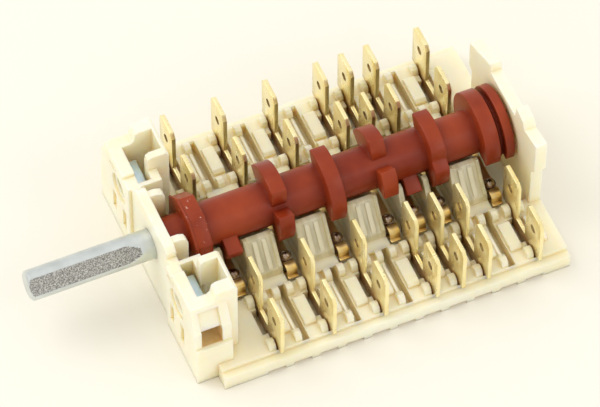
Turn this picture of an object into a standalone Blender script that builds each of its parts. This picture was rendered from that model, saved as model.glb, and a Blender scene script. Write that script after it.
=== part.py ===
"""Oven selector switch: an open moulded frame, a turning camshaft on a steel spindle,
fourteen forked tab terminals and the contact leaves, strips and rivets under the camshaft.

X runs along the spindle (its tip at -X), +Y is the far side, Z is up. The frame rests on Z = 0.
"""
import math

import bmesh
import bpy
from mathutils import Matrix, Vector

# Sizes in millimetres; X is counted from the front of the plate until a body is finished
MM = 0.001
TOUCH_GAP = 0.3
RUNNING_CLEARANCE = 0.06
SINK = 0.4

# Contact stack under a cam, from the trough floor up
FLOOR_THICKNESS = 1.8
STRIP_THICKNESS = 0.5
BUTTON_HEIGHT = 1.4
CONTACT_GAP = 0.5
RIVET_FOOT = 0.4
RIVET_HEAD = 1.1
LEAF_THICKNESS = 0.3
LEAF_HUMP = 0.9
NOSE_RISE = 0.2
LEAF_SEAT = FLOOR_THICKNESS + STRIP_THICKNESS + BUTTON_HEIGHT + CONTACT_GAP + RIVET_FOOT + 3 * TOUCH_GAP
LEAF_NOSE = LEAF_SEAT + LEAF_THICKNESS + NOSE_RISE

# Camshaft
CAM_RADIUS = 7.7
TUBE_RADIUS = 0.57 * CAM_RADIUS
CAM_ROOT_RADIUS = TUBE_RADIUS - 0.2
STUB_RADIUS = 0.52 * CAM_RADIUS
DETENT_RADIUS = 0.94 * CAM_RADIUS
DETENT_RIM = 0.25
DETENT_RIM_WIDTH = 0.6
DETENT_SIDES = 8
END_GROOVE_RADIUS = 0.84 * CAM_RADIUS
JOURNAL_RADIUS = 2.4
AXIS_HEIGHT = LEAF_NOSE + TOUCH_GAP + CAM_RADIUS

# Stations along both decks
HALF_PITCH = 5.3
USED_STATIONS = (0, 2, 4, 6, 7, 8, 10)
HALF_STEPS = 11
CHAMBER_HALF_WIDTH = 0.40 * HALF_PITCH
CAM_THICKNESS = 0.58 * HALF_PITCH
LEAF_WIDTH = 0.40 * HALF_PITCH
CONTACT_RADIUS = 0.23 * HALF_PITCH
CONTACT_SHIFT = 0.13 * HALF_PITCH
NEAR_TERMINAL_SHIFT = 0.25 * HALF_PITCH
FAR_TERMINAL_SHIFT = -0.21 * HALF_PITCH
CONTACT_Y = CAM_RADIUS
RIVET_SHANK_RADIUS = 0.45
RIVET_HOLE_RADIUS = 0.8

# Spindle
SPINDLE_RADIUS = 3.0
SPINDLE_REACH = 24.9
SPINDLE_FLAT_OFFSET = 0.80 * SPINDLE_RADIUS
SPINDLE_FLAT_TURN_DEG = 50.0
SPINDLE_FLAT_CLEAR_OF_PLATE = 2.2
SPINDLE_FLAT_RUN_OUT = 3.0
SPINDLE_TIP_CHAMFER = 0.5

# Front plate, bearing ribs and detent disc, front to back
PLATE_THICKNESS = 2.0
PLATE_TOP = AXIS_HEIGHT + 7.7
PLATE_HALF_WIDTH = 8.0
BEARING_RIB_Y = STUB_RADIUS + 0.9
BEARING_RIB_WIDTH = 1.5
BEARING_RIB_DEPTH = 3.1
DETENT_START = PLATE_THICKNESS + BEARING_RIB_DEPTH + 1.5
DETENT_END = DETENT_START + 3.4
FIRST_WALL_START = DETENT_END + 0.6
STATION_START = FIRST_WALL_START + 1.43 + CHAMBER_HALF_WIDTH

# Rear end of the camshaft and the rear wall
LAST_CAM_END = STATION_START + HALF_PITCH * (HALF_STEPS - 1) + CAM_THICKNESS / 2
END_GROOVE_WIDTH = 1.1
END_DISC_THICKNESS = 1.8
END_DISC_START = LAST_CAM_END + END_GROOVE_WIDTH
END_DISC_END = END_DISC_START + END_DISC_THICKNESS
REAR_WALL_THICKNESS = 2.4
REAR_WALL_START = END_DISC_END + 2 * TOUCH_GAP
BODY_LENGTH = REAR_WALL_START + REAR_WALL_THICKNESS

# Terminals
TAB_WIDTH = 6.3
TAB_SPACE = 3.85
TAB_THICKNESS = 0.8
TAB_CHAMFER = 0.14 * TAB_WIDTH
TAB_HEIGHT = 11.2
TAB_HOLE_RADIUS = 0.9
TAB_HOLE_BELOW_TOP = 4.4
FORK_CROTCH_RISE = 0.9

# Decks, from the camshaft outwards
DECK_TOP = 4.2
TROUGH_HALF_WIDTH = CAM_RADIUS + 4.5
INNER_TAB_Y = TROUGH_HALF_WIDTH - 2.05 + TAB_WIDTH / 2
OUTER_TAB_Y = INNER_TAB_Y + TAB_WIDTH + TAB_SPACE
FORK_MIDDLE_Y = (INNER_TAB_Y + OUTER_TAB_Y) / 2
DECK_HALF_WIDTH = OUTER_TAB_Y + TAB_WIDTH / 2 + 0.6
DECK_LEDGE_WIDTH = 1.6
DECK_LEDGE_TOP = 3.3
DECK_CORNER_DEPTH = 3.5
SLOT_WIDTH = TAB_THICKNESS + 2 * TOUCH_GAP
SLOT_FLOOR = 1.2
SLOT_END_Y = OUTER_TAB_Y + TAB_WIDTH / 2 - 1.2
POCKET_WIDTH = 1.1
POCKET_HALF_LENGTH = 0.75 * TAB_SPACE
BLOCK_WIDTH = 0.45 * HALF_PITCH
BLOCK_HALF_LENGTH = 0.85 * TAB_SPACE
BLOCK_MIDDLE_Y = FORK_MIDDLE_Y + 0.9
BLOCK_RISE = 1.2
NUB_WIDTH = 0.25 * HALF_PITCH
INNER_NUB_RISE = 2.0
INNER_NUB_LENGTH = 2.4
OUTER_NUB_RISE = 1.6
OUTER_NUB_LENGTH = 2.4
TOOTH_WIDTH = 0.32 * HALF_PITCH
TOOTH_HEIGHT = 0.8
TAB_TOP = DECK_TOP + TAB_HEIGHT

# Square nuts and the ears round them
NUT_SIDE = 6.2
NUT_THICKNESS = 2.0
NUT_HOLE_RADIUS = 1.7
SCREW_SPACING = 28.6
SCREW_Z = AXIS_HEIGHT - 0.5
SCREW_HOLE_RADIUS = 2.15
SCREW_RIM_RADIUS = 3.2
SCREW_RIM_DEPTH = 0.5
EAR_PROUD = 0.7
EAR_FRONT_WALL = 2.5
EAR_INNER_WALL = 0.9
EAR_SIDE_WALL = 2.6
EAR_REAR_WALL = 0.9
NUT_SLOT_SPARE = 1.1
NUT_SLOT_INNER_Y = SCREW_SPACING / 2 - NUT_SIDE / 2 - NUT_SLOT_SPARE
NUT_SLOT_OUTER_Y = SCREW_SPACING / 2 + NUT_SIDE / 2 + NUT_SLOT_SPARE
NUT_SLOT_START = EAR_FRONT_WALL - EAR_PROUD
NUT_SLOT_END = NUT_SLOT_START + NUT_THICKNESS + 2 * TOUCH_GAP
EAR_INNER_Y = NUT_SLOT_INNER_Y - EAR_INNER_WALL
EAR_OUTER_Y = NUT_SLOT_OUTER_Y + EAR_SIDE_WALL
EAR_WAIST_DEPTH = NUT_SLOT_END + 1.8
EAR_WAIST_Y = NUT_SLOT_INNER_Y + 2.0
EAR_DEPTH = NUT_SLOT_END + 4.4
EAR_LOW_TOP = AXIS_HEIGHT + 6.1
EAR_INNER_TOP = AXIS_HEIGHT + 5.3
EAR_HIGH_TOP = AXIS_HEIGHT + 8.9
REAR_POCKET_WALL = 1.5
REAR_POCKET_FLOOR = 6.0
SKIRT_OUTER_Y = EAR_OUTER_Y + 2.3
SKIRT_SHOULDER_Z = AXIS_HEIGHT + 1.0
SKIRT_CREST_Z = AXIS_HEIGHT + 5.9
FOOT_OUTER_Y = SKIRT_OUTER_Y + 0.6
FOOT_TOP = 10.4
FOOT_DEPTH = NUT_SLOT_END + 2.2
WINDOW_START = NUT_SLOT_START - 1.2
WINDOW_LENGTH = 4.2
PANEL_DEPTH = 0.5
FACE_SLOT_WIDTH = 1.7
FACE_SLOT_DEPTH = 0.8
FACE_SLOT_SPREAD = 2.5
FACE_MARK_LENGTH = 2.9
FACE_MARK_HEIGHT = 0.7

# Saddle walls between the chambers
SADDLE_GAP = 0.6
SADDLE_FOOT_Y = TROUGH_HALF_WIDTH - 2.3
SADDLE_FOOT_Z = DECK_TOP + 2.1
SADDLE_STRIP_Z = DECK_TOP + 0.7
SADDLE_CREST_Y = TUBE_RADIUS + 1.2
SADDLE_CREST_Z = AXIS_HEIGHT - 2.2
SADDLE_WRAP_DEG = 66.0
SADDLE_LIP_RISE = 0.5
SADDLE_LIP_WIDTH = 0.7

TOTAL_LENGTH = SPINDLE_REACH + BODY_LENGTH
FRONT_X = SPINDLE_REACH - TOTAL_LENGTH / 2

# Lobes of each cam: start, end, flank before and flank after, in degrees from the top towards -Y
CAM_LOBES_DEG = {
    0: ((100.0, 190.0, 6.0, 14.0),),
    2: ((-62.0, 25.0, 8.0, 25.0), (62.0, 124.0, 3.0, 8.0)),
    4: ((-28.0, 110.0, 6.0, 8.0),),
    6: ((-72.0, 0.0, 8.0, 25.0), (48.0, 95.0, 3.0, 4.0)),
    7: ((115.0, 190.0, 6.0, 14.0),),
    8: ((-30.0, 45.0, 6.0, 50.0), (80.0, 135.0, 50.0, 8.0)),
    10: ((-125.0, 105.0, 8.0, 4.0),),
}

CREAM = (0.86, 0.80, 0.62, 1.0)
RED_BROWN = (0.27, 0.055, 0.025, 1.0)
ZINC = (0.60, 0.63, 0.66, 1.0)
BRASS = (0.80, 0.60, 0.25, 1.0)
COPPER = (0.72, 0.42, 0.20, 1.0)
SILVER = (0.62, 0.60, 0.58, 1.0)
SPRING_STEEL = (0.45, 0.46, 0.48, 1.0)


def clear_scene():
    """Remove every object that the session starts with."""
    for obj in list(bpy.data.objects):
        bpy.data.objects.remove(obj, do_unlink=True)


def material(name, colour, roughness, metallic):
    """Return a Principled material of its own for one sub-part."""
    mat = bpy.data.materials.new(name)
    mat.use_nodes = True
    shader = mat.node_tree.nodes["Principled BSDF"]
    shader.inputs["Base Color"].default_value = colour
    shader.inputs["Roughness"].default_value = roughness
    shader.inputs["Metallic"].default_value = metallic
    return mat


def object_from(bm, name, finish=None):
    """Turn a bmesh drawn in millimetres behind the front plate into an object in metres."""
    bmesh.ops.transform(bm, matrix=Matrix.Translation((FRONT_X, 0.0, 0.0)), verts=bm.verts)
    bmesh.ops.scale(bm, vec=(MM, MM, MM), verts=bm.verts)
    bmesh.ops.recalc_face_normals(bm, faces=bm.faces)
    mesh = bpy.data.meshes.new(name)
    bm.to_mesh(mesh)
    bm.free()
    obj = bpy.data.objects.new(name, mesh)
    bpy.context.scene.collection.objects.link(obj)
    if finish is not None:
        mesh.materials.append(material(name + "_finish", *finish))
    return obj


def join_ends(bm, near, far):
    """Close two matching loops of vertices into a prism."""
    bm.faces.new(near)
    bm.faces.new(list(reversed(far)))
    count = len(near)
    for i in range(count):
        j = (i + 1) % count
        bm.faces.new((near[j], near[i], far[i], far[j]))


def add_prism_x(bm, outline, x_start, x_end):
    """Add a closed prism whose YZ outline runs from x_start to x_end."""
    near = [bm.verts.new((x_start, y, z)) for y, z in outline]
    far = [bm.verts.new((x_end, y, z)) for y, z in outline]
    join_ends(bm, near, far)


def add_prism_y(bm, outline, y_start, y_end):
    """Add a closed prism whose XZ outline runs from y_start to y_end."""
    near = [bm.verts.new((x, y_start, z)) for x, z in outline]
    far = [bm.verts.new((x, y_end, z)) for x, z in outline]
    join_ends(bm, near, far)


def add_box(bm, low, high):
    """Add a closed box between two corners."""
    outline = [(low[1], low[2]), (high[1], low[2]), (high[1], high[2]), (low[1], high[2])]
    add_prism_x(bm, outline, low[0], high[0])


def add_side_box(bm, side, x_span, y_span, z_span):
    """Add a closed box on one side of the axis; y_span is counted outwards."""
    edges = sorted((side * y_span[0], side * y_span[1]))
    add_box(bm, (x_span[0], edges[0], z_span[0]), (x_span[1], edges[1], z_span[1]))


def join_rings(bm, first, second):
    """Join two rings of vertices."""
    count = len(first)
    for i in range(count):
        j = (i + 1) % count
        bm.faces.new((first[i], first[j], second[j], second[i]))


def add_round_x(bm, profile, segments, centre_y=0.0, centre_z=AXIS_HEIGHT):
    """Add a closed body turned about an axis along X; the profile is (x, radius) front to back."""
    rings = []
    for x, radius in profile:
        ring = []
        for i in range(segments):
            turn = math.tau * (i + 0.5) / segments
            y = centre_y + radius * math.cos(turn)
            ring.append(bm.verts.new((x, y, centre_z + radius * math.sin(turn))))
        rings.append(ring)
    close_rings(bm, rings)


def add_cylinder_z(bm, centre_x, centre_y, profile, segments):
    """Add a closed body turned about a vertical axis; the profile is (z, radius) bottom to top."""
    rings = []
    for z, radius in profile:
        ring = []
        for i in range(segments):
            turn = math.tau * i / segments
            x = centre_x + radius * math.cos(turn)
            ring.append(bm.verts.new((x, centre_y + radius * math.sin(turn), z)))
        rings.append(ring)
    close_rings(bm, rings)


def close_rings(bm, rings):
    """Join a stack of rings and close both its ends."""
    for first, second in zip(rings, rings[1:]):
        join_rings(bm, first, second)
    bm.faces.new(rings[0])
    bm.faces.new(rings[-1])


def helper(bm, name):
    """Return a hidden wire object for a Boolean."""
    obj = object_from(bm, name)
    obj.hide_render = True
    obj.display_type = "WIRE"
    return obj


def combine(target, other, operation):
    """Add an exact Boolean of another object to the target."""
    step = target.modifiers.new(other.name, "BOOLEAN")
    step.operation = operation
    step.solver = "EXACT"
    step.object = other


def shade_round(obj, angle_deg=35.0):
    """Shade the round faces smooth and keep the sharp edges."""
    obj.data.shade_smooth()
    obj.data.set_sharp_from_angle(angle=math.radians(angle_deg))


def station_x(step):
    """Return the middle of a contact station behind the front plate."""
    return STATION_START + HALF_PITCH * step


def slot_x(step, side):
    """Return the middle of a terminal slot on one side."""
    shift = NEAR_TERMINAL_SHIFT if side < 0 else FAR_TERMINAL_SHIFT
    return station_x(step) + shift


def both_sides():
    """Return the side signs: -1 for the near deck, +1 for the far one."""
    return (-1, 1)


def mirrored(outline, side):
    """Return an outline moved to the given side of the spindle axis."""
    return [(side * y, z) for y, z in outline]


# Frame moulding

def deck_outline():
    """Outline of both decks and the trough between them."""
    shoulder = DECK_HALF_WIDTH - DECK_LEDGE_WIDTH
    half = [
        (DECK_HALF_WIDTH, 0.0),
        (DECK_HALF_WIDTH, DECK_LEDGE_TOP),
        (shoulder, DECK_LEDGE_TOP),
        (shoulder, DECK_TOP),
        (TROUGH_HALF_WIDTH, DECK_TOP),
        (TROUGH_HALF_WIDTH, FLOOR_THICKNESS),
    ]
    return half + [(-y, z) for y, z in reversed(half)]


def front_plate_outline():
    """Outline of the front plate with the lower shoulders that meet the ears."""
    reach = EAR_INNER_Y + SINK
    return [
        (reach, 0.0), (reach, EAR_INNER_TOP), (PLATE_HALF_WIDTH, EAR_INNER_TOP),
        (PLATE_HALF_WIDTH, PLATE_TOP - 1.0), (PLATE_HALF_WIDTH - 1.0, PLATE_TOP),
        (1.0 - PLATE_HALF_WIDTH, PLATE_TOP), (-PLATE_HALF_WIDTH, PLATE_TOP - 1.0),
        (-PLATE_HALF_WIDTH, EAR_INNER_TOP), (-reach, EAR_INNER_TOP), (-reach, 0.0),
    ]


def rear_wall_outline():
    """Outline of the rear wall with its stepped crown."""
    foot = FLOOR_THICKNESS - SINK
    waist = TROUGH_HALF_WIDTH + 1.3
    cheek = waist + 1.3
    rises = [
        (waist, -1.0), (cheek, 0.2), (cheek, 6.4), (5.9, 10.4), (5.6, 8.4), (-5.6, 8.4),
        (-5.9, 11.2), (-8.8, 10.6), (-9.8, 8.9), (-cheek, 9.8), (-cheek, 2.0), (-waist, 0.4),
    ]
    return [(waist, foot)] + [(y, AXIS_HEIGHT + rise) for y, rise in rises] + [(-waist, foot)]


def saddle_outline(rise):
    """Outline of a wall that wraps under the tube and runs down to both decks."""
    low = FLOOR_THICKNESS - SINK
    toe = TROUGH_HALF_WIDTH + SINK
    side = [(toe, low), (toe, SADDLE_STRIP_Z), (SADDLE_FOOT_Y + 0.3, SADDLE_STRIP_Z)]
    steps = 4
    for i in range(steps + 1):
        share = i / steps
        y = SADDLE_FOOT_Y + (SADDLE_CREST_Y - SADDLE_FOOT_Y) * share
        z = SADDLE_FOOT_Z + (SADDLE_CREST_Z - SADDLE_FOOT_Z) * share ** 1.25
        side.append((y, z + rise))
    arc = []
    radius = TUBE_RADIUS + SADDLE_GAP
    count = 8
    for i in range(count + 1):
        turn = math.radians(SADDLE_WRAP_DEG) * (1.0 - 2.0 * i / count)
        arc.append((radius * math.sin(turn), AXIS_HEIGHT - radius * math.cos(turn)))
    return side + arc + [(-y, z) for y, z in reversed(side)]


def wall_spans():
    """Spans of X left between the chambers, front to back."""
    spans = [(FIRST_WALL_START, station_x(0) - CHAMBER_HALF_WIDTH)]
    for step, following in zip(USED_STATIONS, USED_STATIONS[1:]):
        spans.append((station_x(step) + CHAMBER_HALF_WIDTH, station_x(following) - CHAMBER_HALF_WIDTH))
    return spans


def add_nub(bm, x, y, length, top):
    """Add a small block with a rounded crown standing on the deck."""
    low = DECK_TOP - SINK
    reach = length / 2
    outline = [(y - reach, low), (y + reach, low)]
    count = 4
    for i in range(count + 1):
        turn = math.pi * i / count
        outline.append((y + reach * math.cos(turn), top - reach + reach * math.sin(turn)))
    add_prism_x(bm, outline, x - NUB_WIDTH / 2, x + NUB_WIDTH / 2)


def frame_walls():
    """Front plate, rear wall and saddle walls, clear of each other."""
    bm = bmesh.new()
    add_prism_x(bm, front_plate_outline(), 0.0, PLATE_THICKNESS)
    add_prism_x(bm, rear_wall_outline(), REAR_WALL_START, BODY_LENGTH)
    for x_start, x_end in wall_spans():
        add_prism_x(bm, saddle_outline(0.0), x_start, x_end)
    return helper(bm, "frame_walls")


def saddle_lips():
    """Raised lips along the edges of the wide saddle walls."""
    bm = bmesh.new()
    inset = 0.1
    for x_start, x_end in wall_spans():
        if x_end - x_start < 5 * SADDLE_LIP_WIDTH:
            continue
        for start in (x_start + inset, x_end - inset - SADDLE_LIP_WIDTH):
            add_prism_x(bm, saddle_outline(SADDLE_LIP_RISE), start, start + SADDLE_LIP_WIDTH)
    return helper(bm, "saddle_lips")


def ear_outline():
    """Outline of the outer part of an ear in XZ, low in front with a rounded step to the rear."""
    step = NUT_SLOT_END - 0.3
    return [
        (-EAR_PROUD, 0.0), (EAR_DEPTH, 0.0), (EAR_DEPTH, EAR_HIGH_TOP - 0.6), (EAR_DEPTH - 0.6, EAR_HIGH_TOP),
        (step + 1.2, EAR_HIGH_TOP), (step + 0.5, EAR_HIGH_TOP - 0.5), (step + 0.2, EAR_LOW_TOP + 0.6),
        (step - 0.4, EAR_LOW_TOP), (-EAR_PROUD, EAR_LOW_TOP),
    ]


def frame_ears():
    """The outer parts of the ears that hold the square nuts."""
    bm = bmesh.new()
    for side in both_sides():
        add_prism_y(bm, ear_outline(), side * EAR_WAIST_Y, side * EAR_OUTER_Y)
    return helper(bm, "frame_ears")


def ear_inner_parts():
    """Inner parts of the ears beside the bearing, and the sloping skirts with their feet outside."""
    bm = bmesh.new()
    inner = EAR_OUTER_Y - SINK
    skirt = [
        (inner, 0.0), (FOOT_OUTER_Y, 0.0), (FOOT_OUTER_Y, FOOT_TOP), (SKIRT_OUTER_Y, FOOT_TOP),
        (SKIRT_OUTER_Y, SKIRT_SHOULDER_Z), (EAR_OUTER_Y, SKIRT_CREST_Z), (inner, SKIRT_CREST_Z),
    ]
    for side in both_sides():
        depth = (-EAR_PROUD, EAR_WAIST_DEPTH)
        add_side_box(bm, side, depth, (EAR_INNER_Y, EAR_WAIST_Y + SINK), (0.0, EAR_INNER_TOP))
        add_prism_x(bm, mirrored(skirt, side), -EAR_PROUD, FOOT_DEPTH)
    return helper(bm, "ear_inner_parts")


def bearing_ribs():
    """Two upright ribs behind the front plate, one on each side of the stub."""
    bm = bmesh.new()
    top = PLATE_TOP - 0.3
    rear = PLATE_THICKNESS + BEARING_RIB_DEPTH
    outline = [
        (PLATE_THICKNESS - SINK, SINK), (rear, SINK), (rear, top - 1.6), (rear - 0.5, top - 0.5),
        (rear - 1.6, top), (PLATE_THICKNESS - SINK, top),
    ]
    for side in both_sides():
        add_prism_y(bm, outline, side * BEARING_RIB_Y, side * (BEARING_RIB_Y + BEARING_RIB_WIDTH))
    return helper(bm, "bearing_ribs")


def deck_blocks():
    """Low raised blocks between the terminal slots of each deck."""
    bm = bmesh.new()
    low = DECK_TOP - SINK
    top = DECK_TOP + BLOCK_RISE
    reach = BLOCK_HALF_LENGTH
    corner = BLOCK_RISE / 2
    outline = [(-reach, low), (reach, low), (reach, top - corner), (reach - corner, top),
               (corner - reach, top), (-reach, top - corner)]
    for side in both_sides():
        for step in range(HALF_STEPS):
            start = slot_x(step, side) + SLOT_WIDTH / 2 + 0.25
            moved = [(side * BLOCK_MIDDLE_Y + y, z) for y, z in outline]
            add_prism_x(bm, moved, start, start + BLOCK_WIDTH)
    return helper(bm, "deck_blocks")


def deck_nubs():
    """Rounded nubs beside the inner and the outer end of each slot."""
    bm = bmesh.new()
    apart = SLOT_WIDTH / 2 + NUB_WIDTH / 2
    inner = TROUGH_HALF_WIDTH + SINK + INNER_NUB_LENGTH / 2
    outer = DECK_HALF_WIDTH - DECK_LEDGE_WIDTH - OUTER_NUB_LENGTH / 2 - SINK
    for side in both_sides():
        for step in range(HALF_STEPS):
            x = slot_x(step, side)
            add_nub(bm, x - apart, side * inner, INNER_NUB_LENGTH, DECK_TOP + INNER_NUB_RISE)
            add_nub(bm, x + apart, side * inner, INNER_NUB_LENGTH, DECK_TOP + INNER_NUB_RISE)
            add_nub(bm, x - apart, side * outer, OUTER_NUB_LENGTH, DECK_TOP + OUTER_NUB_RISE)
    return helper(bm, "deck_nubs")


def deck_slots():
    """Slots in which the terminals stand, and the empty ones between them."""
    bm = bmesh.new()
    span = (TROUGH_HALF_WIDTH - SINK, SLOT_END_Y)
    for side in both_sides():
        for step in range(HALF_STEPS):
            x = slot_x(step, side)
            width = (x - SLOT_WIDTH / 2, x + SLOT_WIDTH / 2)
            add_side_box(bm, side, width, span, (SLOT_FLOOR, DECK_TOP + SINK))
    return helper(bm, "deck_slots")


def fork_pockets():
    """Pockets beside the terminals, between their two tabs."""
    bm = bmesh.new()
    span = (FORK_MIDDLE_Y - POCKET_HALF_LENGTH, FORK_MIDDLE_Y + POCKET_HALF_LENGTH)
    for side in both_sides():
        for step in USED_STATIONS:
            end = slot_x(step, side) - SLOT_WIDTH / 2
            width = (end - POCKET_WIDTH, end + SINK)
            add_side_box(bm, side, width, span, (SLOT_FLOOR + SINK, DECK_TOP + SINK))
    return helper(bm, "fork_pockets")


def edge_notches():
    """Notches that leave a row of small teeth under both long edges."""
    bm = bmesh.new()
    span = (DECK_HALF_WIDTH - 1.2, DECK_HALF_WIDTH + SINK)
    for side in both_sides():
        for step in range(HALF_STEPS):
            start = station_x(step) - HALF_PITCH / 2 + TOOTH_WIDTH / 2
            width = (start, start + HALF_PITCH - TOOTH_WIDTH)
            add_side_box(bm, side, width, span, (-SINK, TOOTH_HEIGHT))
    return helper(bm, "edge_notches")


def nut_slots():
    """Slots that hold the square nuts, open at the top."""
    bm = bmesh.new()
    floor = SCREW_Z - NUT_SIDE / 2 - TOUCH_GAP
    for side in both_sides():
        width = (NUT_SLOT_START, NUT_SLOT_END)
        add_side_box(bm, side, width, (NUT_SLOT_INNER_Y, NUT_SLOT_OUTER_Y), (floor, EAR_HIGH_TOP + SINK))
    return helper(bm, "nut_slots")


def rear_pockets():
    """Deep pockets behind the nut slots."""
    bm = bmesh.new()
    for side in both_sides():
        depth = (NUT_SLOT_END - SINK, EAR_DEPTH - EAR_REAR_WALL)
        span = (EAR_WAIST_Y + REAR_POCKET_WALL, NUT_SLOT_OUTER_Y)
        add_side_box(bm, side, depth, span, (REAR_POCKET_FLOOR, EAR_HIGH_TOP + SINK))
    return helper(bm, "rear_pockets")


def ear_windows():
    """Windows through the skirts into the nut slots."""
    bm = bmesh.new()
    for side in both_sides():
        through = (NUT_SLOT_OUTER_Y - SINK, SKIRT_OUTER_Y + SINK)
        width = (WINDOW_START, WINDOW_START + WINDOW_LENGTH)
        add_side_box(bm, side, width, through, (FOOT_TOP, SKIRT_SHOULDER_Z))
    return helper(bm, "ear_windows")


def skirt_panels():
    """Shallow sloping panels sunk in the skirts above the windows."""
    bm = bmesh.new()
    low = SKIRT_SHOULDER_Z - 0.2
    top = SKIRT_CREST_Z - 0.8
    outline = [
        (SKIRT_OUTER_Y - PANEL_DEPTH, low), (FOOT_OUTER_Y, low), (FOOT_OUTER_Y, top),
        (EAR_OUTER_Y + 0.2 - PANEL_DEPTH, top),
    ]
    for side in both_sides():
        add_prism_x(bm, mirrored(outline, side), WINDOW_START, WINDOW_START + WINDOW_LENGTH - 0.1)
    return helper(bm, "skirt_panels")


def deck_corners():
    """Cutter for the front corners of the decks, outside the feet of the ears."""
    bm = bmesh.new()
    for side in both_sides():
        span = (FOOT_OUTER_Y, DECK_HALF_WIDTH + SINK)
        add_side_box(bm, side, (-SINK, DECK_CORNER_DEPTH), span, (-SINK, DECK_TOP + SINK))
    return helper(bm, "deck_corners")


def ear_face_slots():
    """Shallow upright slots low in the front faces of the ears and a level one above each screw hole."""
    bm = bmesh.new()
    depth = (-EAR_PROUD - SINK, FACE_SLOT_DEPTH - EAR_PROUD)
    middle = SCREW_SPACING / 2
    half = FACE_SLOT_WIDTH / 2
    for side in both_sides():
        for spread in (-FACE_SLOT_SPREAD, FACE_SLOT_SPREAD):
            y = middle + spread
            add_side_box(bm, side, depth, (y - half, y + half), (DECK_TOP, SCREW_Z - SCREW_RIM_RADIUS - 0.8))
        mark = side * middle + 1.4
        level = SCREW_Z + SCREW_RIM_RADIUS + 0.3
        add_box(bm, (depth[0], mark, level), (depth[1], mark + FACE_MARK_LENGTH, level + FACE_MARK_HEIGHT))
    return helper(bm, "ear_face_slots")


def screw_rims():
    """Shallow round recesses about the screw holes."""
    bm = bmesh.new()
    for side in both_sides():
        span = [(-EAR_PROUD - SINK, SCREW_RIM_RADIUS), (SCREW_RIM_DEPTH - EAR_PROUD, SCREW_RIM_RADIUS)]
        add_round_x(bm, span, 24, side * SCREW_SPACING / 2, SCREW_Z)
    return helper(bm, "screw_rims")


def round_openings():
    """Screw holes through the ears, the spindle bearing and the rear bearing."""
    bm = bmesh.new()
    for side in both_sides():
        span = [(-EAR_PROUD - SINK, SCREW_HOLE_RADIUS), (NUT_SLOT_END + 1.0, SCREW_HOLE_RADIUS)]
        add_round_x(bm, span, 24, side * SCREW_SPACING / 2, SCREW_Z)
    bore = SPINDLE_RADIUS + RUNNING_CLEARANCE
    add_round_x(bm, [(-SINK, bore), (PLATE_THICKNESS + SINK, bore)], 48)
    journal = JOURNAL_RADIUS + RUNNING_CLEARANCE
    add_round_x(bm, [(REAR_WALL_START - SINK, journal), (BODY_LENGTH + SINK, journal)], 48)
    return helper(bm, "round_openings")


def build_frame():
    """Build the one-piece frame moulding."""
    bm = bmesh.new()
    add_prism_x(bm, deck_outline(), 0.0, BODY_LENGTH)
    frame = object_from(bm, "frame", (CREAM, 0.45, 0.0))
    solids = (frame_walls(), saddle_lips(), frame_ears(), ear_inner_parts(), bearing_ribs())
    for part in solids + (deck_blocks(), deck_nubs()):
        combine(frame, part, "UNION")
    cuts = (deck_slots(), fork_pockets(), edge_notches(), deck_corners(), nut_slots(), rear_pockets())
    for part in cuts + (ear_windows(), skirt_panels(), ear_face_slots(), screw_rims(), round_openings()):
        combine(frame, part, "DIFFERENCE")
    return frame


# Camshaft and spindle

def lobe_share(turn, lobe):
    """Return 1 on a lobe, 0 well off it and a slope on its flanks; angles in degrees."""
    start, end, before, after = lobe
    ahead = (turn - start) % 360.0
    if ahead <= end - start:
        return 1.0
    past = ahead - (end - start)
    ahead_of_start = 360.0 - ahead
    return max(0.0, 1.0 - past / after, 1.0 - ahead_of_start / before)


def cam_turns(lobes):
    """Directions at which a cam outline has a point: even steps, and each corner of its lobes."""
    turns = set(float(turn) for turn in range(0, 360, 10))
    for start, end, before, after in lobes:
        corners = [corner % 360.0 for corner in (start - before, start, end, end + after)]
        turns = {turn for turn in turns if min(abs(turn - corner) for corner in corners) > 2.5}
        turns.update(corners)
    return sorted(turns)


def cam_outline(lobes, valley):
    """Outline of a cam: full radius on its lobes, valley radius elsewhere, sloping flanks."""
    points = []
    for turn in cam_turns(lobes):
        share = max(lobe_share(turn, lobe) for lobe in lobes)
        radius = valley + (CAM_RADIUS - valley) * share
        angle = math.radians(turn)
        points.append((-radius * math.sin(angle), AXIS_HEIGHT + radius * math.cos(angle)))
    return points


def camshaft_core():
    """Turned body of the camshaft: stub, tube, end groove, foot of the end disc and rear journal."""
    bevel = 0.25
    stub_start = PLATE_THICKNESS + TOUCH_GAP
    profile = [
        (stub_start, STUB_RADIUS - bevel),
        (stub_start + bevel, STUB_RADIUS),
        (DETENT_START + SINK, STUB_RADIUS),
        (DETENT_START + SINK, TUBE_RADIUS),
        (LAST_CAM_END - SINK, TUBE_RADIUS),
        (LAST_CAM_END - SINK, END_GROOVE_RADIUS),
        (END_DISC_START + SINK, END_GROOVE_RADIUS),
        (END_DISC_END - bevel, END_GROOVE_RADIUS),
        (END_DISC_END - bevel, JOURNAL_RADIUS),
        (BODY_LENGTH - bevel, JOURNAL_RADIUS),
        (BODY_LENGTH, JOURNAL_RADIUS - bevel),
    ]
    bm = bmesh.new()
    add_round_x(bm, profile, 40)
    return bm


def polygon(radius, sides):
    """Outline of a regular polygon round the axis with a flat at the bottom."""
    turns = [math.tau * (i + 0.5) / sides for i in range(sides)]
    return [(radius * math.cos(turn), AXIS_HEIGHT + radius * math.sin(turn)) for turn in turns]


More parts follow.
